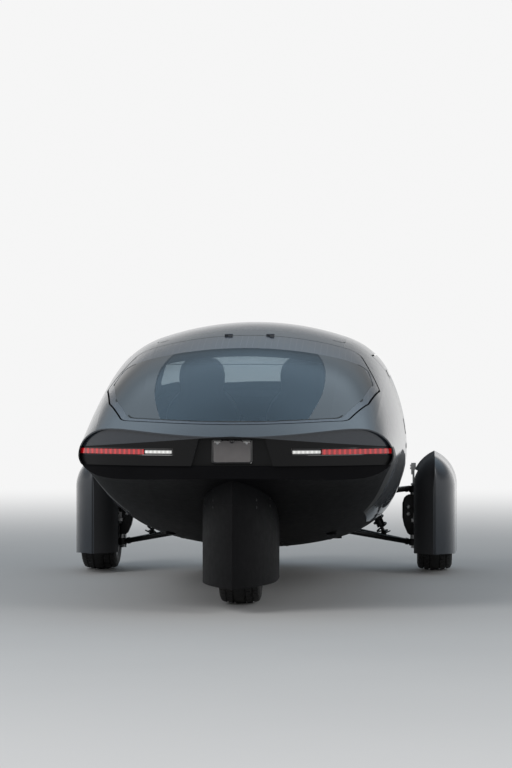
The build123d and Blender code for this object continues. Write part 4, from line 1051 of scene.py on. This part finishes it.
# Of the caliper: place across, radius round the axle, and which way each is drawn in at the ends
CALIPER_SECTION = ((0.929, 0.106, 0, 0), (0.926, 0.112, 1, 0), (0.926, 0.170, 1, 0), (0.932, 0.177, 0, -1),
                   (0.986, 0.177, 0, -1), (0.992, 0.170, -1, 0), (0.992, 0.112, -1, 0), (0.989, 0.106, 0, 0),
                   (0.974, 0.106, 0, 0), (0.974, 0.157, 0, 0), (0.946, 0.157, 0, 0), (0.946, 0.106, 0, 0))
SPRING_TURNS = 4.25
SPRING_R = 0.033
TURN_STEPS = 20             # points in one turn of the spring
DAMPER_FOOT = Vector((0.700, FRONT_Y, 0.191))
DAMPER_TOP = Vector((0.560, FRONT_Y, 0.520))
gear_skin = Skin("body_shell", "belly_pan", "nose_bumper")
for side, out in SIDES:
    knuckle = f"{side}_knuckle"
    for level, joint_z, inner, radius in ARMS:
        joint = Vector((out * KINGPIN_X, FRONT_Y, joint_z))
        for k, way in enumerate((1, -1)):
            end = Vector((out * inner.x, FRONT_Y + way * inner.y, inner.z))
            towards = (end - joint).normalized()
            point, _ = gear_skin.hit(joint, towards)
            boot = [(-0.010, radius + 0.013), (-0.002, radius + 0.015)]
            boot += [(0.004 + 0.005 * n, radius + (0.012 if n % 2 else 0.008) - 0.0012 * n) for n in range(5)]
            boot += [(0.032, radius + 0.002), (0.034, radius + 0.0004)]
            turned_on(f"{level}_arm_boot_{side}_{k + 1}", boot, point, -towards, seal_rubber)
            turned_on(f"{level}_arm_collar_{side}_{k + 1}", [
                (0.034, radius + 0.0005), (0.036, radius + 0.004), (0.050, radius + 0.004),
                (0.052, radius + 0.0005)], joint, towards, black_steel, slot="black_steel")
        upright = (0, 0, 1 if level == "upper" else -1)
        hex_head(f"{level}_joint_nut_{side}", [(JOINT_HALF + 0.0025, 0.0135), (JOINT_HALF + 0.004, 0.0165),
                 (JOINT_HALF + 0.014, 0.0165), (JOINT_HALF + 0.016, 0.0130)], joint, upright, knuckle)
        turned_on(f"{level}_joint_boot_{side}", [(-JOINT_HALF, 0.0262), (-JOINT_HALF - 0.0028, 0.0272),
                  (-JOINT_HALF - 0.0052, 0.0235)], joint, upright, seal_rubber)

    # Upright casting on the kingpin post, and the alloy plate of the upper arm
    rings = []
    for z, inner_x, half in UPRIGHT_ROWS:
        outline = outline_box((inner_x + UPRIGHT_X) / 2, FRONT_Y, (UPRIGHT_X - inner_x) / 2, half, 0.012)
        rings.append([Vector((out * point.x, point.y, z)) for point in outline])
    loft(f"upright_{side}", rings, black_steel, knuckle, "black_steel")
    for k, z in enumerate((0.330, 0.372)):
        hex_head(f"upright_bolt_{side}_{k + 1}", [(-0.002, 0.011), (0.0015, 0.0125), (0.003, 0.0095),
                 (0.010, 0.0090), (0.011, 0.0060)], (out * 0.832, FRONT_Y - 0.036, z), (0, -1, 0), knuckle)
    plate = rounded(((0.722, -0.046), (0.836, -0.020), (0.836, 0.020), (0.722, 0.046)), 0.012)
    slab(f"upper_arm_plate_{side}", plate, 0.009, 0.021, 0.003,
         lambda u, v, h, out=out: (out * u, FRONT_Y + v, UPPER_JOINT_Z - (KINGPIN_X - u) * 0.1228 + h),
         bare_alloy, slot="bare_alloy")

    # Caliper over the disc, and its carrier
    rings = []
    for k in range(15):
        angle = pi + radians(-32 + 64 * k / 14)
        ends = 0.010 * (abs(k - 7) / 7) ** 6
        section = [(out * (x + across * ends), r + high * ends) for x, r, across, high in CALIPER_SECTION]
        rings.append([Vector((x, FRONT_Y + r * cos(angle), TYRE_R + r * sin(angle))) for x, r in section])
    loft(f"caliper_{side}", rings, black_steel, knuckle, "black_steel")
    for k, z in enumerate((-0.036, 0.036)):
        tube(f"caliper_carrier_{side}_{k + 1}", curve_through([
            (out * 0.884, FRONT_Y - 0.036, TYRE_R + z * 0.6), (out * 0.902, FRONT_Y - 0.072, TYRE_R + z),
            (out * 0.928, FRONT_Y - 0.116, TYRE_R + z * 1.1)]), 0.010, black_steel, knuckle, "black_steel")

    # Coil spring and its seats round the damper
    foot, top = (Vector((out * p.x, p.y, p.z)) for p in (DAMPER_FOOT, DAMPER_TOP))
    axis = (top - foot).normalized()
    skin_point, _ = gear_skin.hit(foot, axis)
    reach = (skin_point - foot).length
    first, last = 0.034, reach - 0.012
    across = axis.orthogonal().normalized()
    along = axis.cross(across)
    coil = []
    for k in range(int(SPRING_TURNS * TURN_STEPS) + 1):
        u, v = circle(TURN_STEPS, SPRING_R)[k % TURN_STEPS]
        height = first + (last - first) * k / (SPRING_TURNS * TURN_STEPS)
        coil.append(foot + axis * height + across * u + along * v)
    tube(f"spring_{side}", coil, 0.0052, black_steel, slot="black_steel", steps=10)
    turned_on(f"spring_seat_{side}", [(0.0, 0.0106), (0.001, 0.039), (0.004, 0.041), (0.007, 0.039),
              (0.008, 0.022), (0.022, 0.0106)], foot + axis * (first - 0.013), axis, black_steel,
              slot="black_steel")

    # Screws of the wheel pant's bracket
    for k, z in enumerate((0.596, 0.612)):
        hex_head(f"bracket_screw_{side}_{k + 1}", [(-0.002, 0.005), (0.0005, 0.0062), (0.005, 0.0062),
                 (0.006, 0.0045)], (out * (KINGPIN_X - 0.014), FRONT_Y + 0.060, z), (-out, 0, 0), knuckle)

# Console between the seats, with two cup rings, a padded lid and a gear dial
CONSOLE_ROWS = ((-0.34, 0.040, 0.150), (-0.33, 0.047, 0.172), (-0.10, 0.050, 0.180), (0.00, 0.050, 0.150),
                (0.25, 0.050, 0.128), (0.50, 0.050, 0.140), (0.62, 0.050, 0.185), (0.64, 0.046, 0.190))
CONSOLE_FOOT_Z = SEAT_BASE_Z + 0.0005
EASE = 0.012                # radius of its upper edges
rings = []
for y, half, high in CONSOLE_ROWS:
    outline = [(-half, CONSOLE_FOOT_Z), (half, CONSOLE_FOOT_Z)]
    for corner, turn in ((half - EASE, 0), (EASE - half, pi / 2)):
        for k in range(6):
            angle = turn + pi / 2 * k / 5
            outline.append((corner + EASE * cos(angle), CONSOLE_FOOT_Z + high - EASE + EASE * sin(angle)))
    rings.append([Vector((u, y, v)) for u, v in outline])
loft("console", rings, soft_trim)
LID_ROWS = ((0.000, 0.036, 0.010, 0.0), (0.015, 0.044, 0.015, 0.002), (0.200, 0.046, 0.016, 0.003),
            (0.220, 0.038, 0.011, 0.0))
lid = pad("console_lid", LID_ROWS, Vector((0, -0.320, SEAT_BASE_Z + 0.188)), Vector((0, 1, 0)),
          Vector((0, 0, 1)), (), steps=16, sides=24)
for k, y in enumerate((0.090, 0.185)):
    turned(f"cup_ring_{k + 1}", (
        (0.0, 0.041), (0.004, 0.0435), (0.007, 0.0425), (0.006, 0.0385), (0.001, 0.0375), (-0.004, 0.036),
        (-0.004, 0.004)), (0, y, SEAT_BASE_Z + 0.138), bare_alloy, axis="Z", steps=40)
turned("gear_dial", (
    (0.0, 0.026), (0.012, 0.026), (0.014, 0.0245), (0.026, 0.0235), (0.029, 0.0205), (0.0285, 0.006)),
    (0, 0.370, SEAT_BASE_Z + 0.134), bare_alloy, axis="Z", steps=40)

# Dashboard: air vents, a lower trim rail, the display's bezel
DASH_FACE = Vector((0, 0.860, 0.800))
DASH_SLOPE = Vector((0, 0.040, 0.072)).normalized()
DASH_OUT = Vector((0, -0.072, 0.040)).normalized()


def on_dash(x):
    """Puts an outline on the dashboard's leaning face round x."""
    return lambda u, v, h: Vector((x + u, 0, 0)) + DASH_FACE + DASH_SLOPE * (v + 0.041) + DASH_OUT * h


for k, x in enumerate((-0.560, -0.205, 0.205, 0.560)):
    slab(f"vent_{k + 1}", outline_box(0, 0, 0.062, 0.022, 0.012), 0.0003, 0.006, 0.002, on_dash(x), piano)
    slab(f"vent_throat_{k + 1}", outline_box(0, 0, 0.055, 0.0155, 0.008), 0.0055, 0.0068, 0.0004, on_dash(x),
         seal_rubber)
    for row, v in enumerate((-0.0095, -0.0032, 0.0032, 0.0095)):
        slab(f"vent_{k + 1}_slat_{row + 1}", outline_box(0, v, 0.054, 0.0013, 0.001, 2), 0.0062, 0.0125,
             0.0004, on_dash(x), soft_trim)
tube("dash_rail", [(-0.60 + 0.05 * k, 0.8585, 0.788) for k in range(25)], 0.0042, bare_alloy, steps=10)
bezel = [Vector((p.x, 0.8476 - 0.0006, 0.830 + p.y)) for p in outline_box(0, 0, 0.1475, 0.0825, 0.010)]
tube("display_bezel", bezel, 0.0028, piano, slot="display_glass", closed=True, steps=8)

# Yoke: hide grips, hub pad, thumb pads; stalks behind it
COLUMN_HUB = Vector((-0.272, 0.560, 0.835))
COLUMN_LEAN = radians(15)
YOKE_OUT = Vector((0, -cos(COLUMN_LEAN), sin(COLUMN_LEAN)))
YOKE_UP = Vector((0, sin(COLUMN_LEAN), cos(COLUMN_LEAN)))
YOKE_R = 0.165
YOKE_FACE = 0.0172          # height of its front above the plane of its grips


def on_yoke(u, v, h):
    """A point of the yoke's plane: across, up it and towards the driver."""
    return COLUMN_HUB + Vector((u, 0, 0)) + YOKE_UP * v + YOKE_OUT * h


for name, middle_angle, reach in (("right", 0, 44), ("left", 180, 44), ("top", 90, 26)):
    angles = [radians(middle_angle + angle) for angle in range(-reach, reach + 1, 4)]
    path = [on_yoke(YOKE_R * cos(angle), YOKE_R * sin(angle), 0) for angle in angles]
    swell = [0.0138 + 0.0030 * (1 - abs(2 * k / (len(path) - 1) - 1) ** 6) for k in range(len(path))]
    tube(f"yoke_grip_{name}", path, swell, grip_hide, "steering", steps=20)
slab("yoke_hub_pad", outline_box(0, -0.006, 0.058, 0.050, 0.026, 8), YOKE_FACE, 0.034, 0.008, on_yoke,
     soft_trim, "steering")
for name, u in (("right", 0.094), ("left", -0.094)):
    slab(f"yoke_thumb_pad_{name}", outline_box(u, 0, 0.028, 0.013, 0.009), YOKE_FACE, 0.0225, 0.002, on_yoke,
         piano, "steering")
    for k, shift in enumerate((-0.015, 0, 0.015)):
        slab(f"yoke_key_{name}_{k + 1}", outline_box(u + shift, 0, 0.0052, 0.0072, 0.002, 3), 0.0220, 0.0240,
             0.0006, on_yoke, soft_trim, "steering")
for name, out in SIDES:
    stalk = curve_through([on_yoke(out * 0.020, 0, -0.055), on_yoke(out * 0.060, 0.004, -0.055),
                           on_yoke(out * 0.105, 0.014, -0.046), on_yoke(out * 0.125, 0.018, -0.042)])
    radii = [0.0055 + 0.0025 * k / (len(stalk) - 1) for k in range(len(stalk))]
    tube(f"stalk_{name}", stalk, radii, soft_trim)

# Pedals
for name, x, half, tall in (("brake_pedal", -0.300, 0.042, 0.030), ("drive_pedal", -0.190, 0.024, 0.055)):
    slab(name, outline_box(x, 0, half, tall, 0.010), 0, 0.010, 0.003,
         lambda u, v, h: (u, 1.020 - h + v * 0.35, 0.560 + v), seal_rubber)
    tube(f"{name}_arm", curve_through([(x, 1.024, 0.565), (x, 1.055, 0.640), (x, 1.060, 0.715)]), 0.007,
         black_steel, slot="black_steel")

# Inner mirror under the windscreen's head
under_screen = Skin("windscreen")
stem_top, _ = under_screen.hit((0, 0.500, 1.0), (0, 0, 1))
MIRROR_PLACE = Vector((0, stem_top.y - 0.045, stem_top.z - 0.085))


def on_mirror(u, v, h):
    """A point of the mirror's leaning plane."""
    return MIRROR_PLACE + Vector((u, -h - v * 0.16, v))


tube("mirror_stem", curve_through([stem_top + Vector((0, 0, 0.0005)), stem_top + Vector((0, -0.010, -0.040)),
                                   MIRROR_PLACE + Vector((0, 0.016, 0.002))]), 0.006, soft_trim)
turned("mirror_foot", ((0.004, 0.010), (0.002, 0.020), (-0.006, 0.019), (-0.012, 0.012), (-0.014, 0.004)),
       stem_top, soft_trim, axis="Z", steps=28)
slab("mirror_shell", outline_box(0, 0, 0.112, 0.031, 0.024, 8), -0.014, 0.006, 0.006, on_mirror, soft_trim)
slab("mirror_glass", outline_box(0, 0, 0.105, 0.0255, 0.019, 8), 0.0055, 0.0070, 0.0004, on_mirror,
     mirror_face)

# Camera at the photograph's place: behind the car, a little to its right
CAMERA_PLACE = (0.888, -16.925, 1.149)
CAMERA_TURN = (90 - 0.17, 0, 2.99)
LENS_PIXELS = 3100
PICTURE_PIXELS = 768
SENSOR_MM = 36
camera_data = bpy.data.cameras.new("camera")
camera_data.sensor_fit = "VERTICAL"
camera_data.sensor_height = SENSOR_MM
camera_data.lens = SENSOR_MM * LENS_PIXELS / PICTURE_PIXELS
camera_data.clip_end = 200
camera = put_in_scene("camera", camera_data)
camera.location = CAMERA_PLACE
camera.rotation_euler = [radians(angle) for angle in CAMERA_TURN]
bpy.context.scene.camera = camera

# Floor, lamps and world
BACKDROP = 0.92             # light of the far floor and the low sky
FLOOR_HALF = 90
floor_mesh = bpy.data.meshes.new("floor")
corners = [(x * FLOOR_HALF, y * FLOOR_HALF, 0) for x, y in ((-1, -1), (1, -1), (1, 1), (-1, 1))]
floor_mesh.from_pydata(corners, [], [(0, 1, 2, 3)])
floor = put_in_scene("floor", floor_mesh)
floor_finish = mottled("floor", (0.52, 0.52, 0.52), 0.9, (0.8, 3), (0.50, 0.50, 0.50), (0.54, 0.54, 0.535))
far = (floor_finish.place("X") ** 2 + floor_finish.place("Y") ** 2) ** 0.5
glow = floor_finish.node("Emission", None, {"Color": (1, 1, 1), "Strength": BACKDROP})
floor_finish.mix_in(far.ramp(2.5, 15), glow)
floor_mesh.materials.append(floor_finish.material)

world = bpy.data.worlds.new("studio")
bpy.context.scene.world = world
world.use_nodes = True


class Sky(Finish):
    """The studio's own light, by direction, in the same expressions as a finish."""

    def __init__(self, tree):
        self.tree = tree
        self.shader = tree.nodes["Background"]
        self.coordinates = {}


sky = Sky(world.node_tree)
forwards, upwards = sky.split("Generated", "Y"), sky.split("Generated", "Z")
open_sky = forwards.ramp(-0.05, 0.35) * upwards.ramp(0.22, 0.50)
ahead = 1 - abs(sky.split("Generated", "X")).ramp(0.10, 0.36)
low_sky = forwards.ramp(0, 0.5) * ahead * (upwards.ramp(0.44, 0.56) - upwards.ramp(0.66, 0.76))
sky.feed(Strength=BACKDROP - upwards.ramp(0.13, 0.36) * 0.66 + open_sky * 0.34 + low_sky * 0.50,
         Color=sky.blend(open_sky, (1, 1, 1), (0.70, 0.86, 1.0)))

for name, place, turn, size, power in (
    ("key", (-6, -7, 7), (48, 0, -40), 5, 420),
    ("fill", (7, -5, 5), (55, 0, 55), 5, 180),
):
    data = bpy.data.lights.new(name, "AREA")
    data.size = size
    data.energy = power
    lamp = put_in_scene(name, data)
    lamp.location = place
    lamp.rotation_euler = [radians(angle) for angle in turn]

bpy.context.scene.view_settings.view_transform = "Standard"
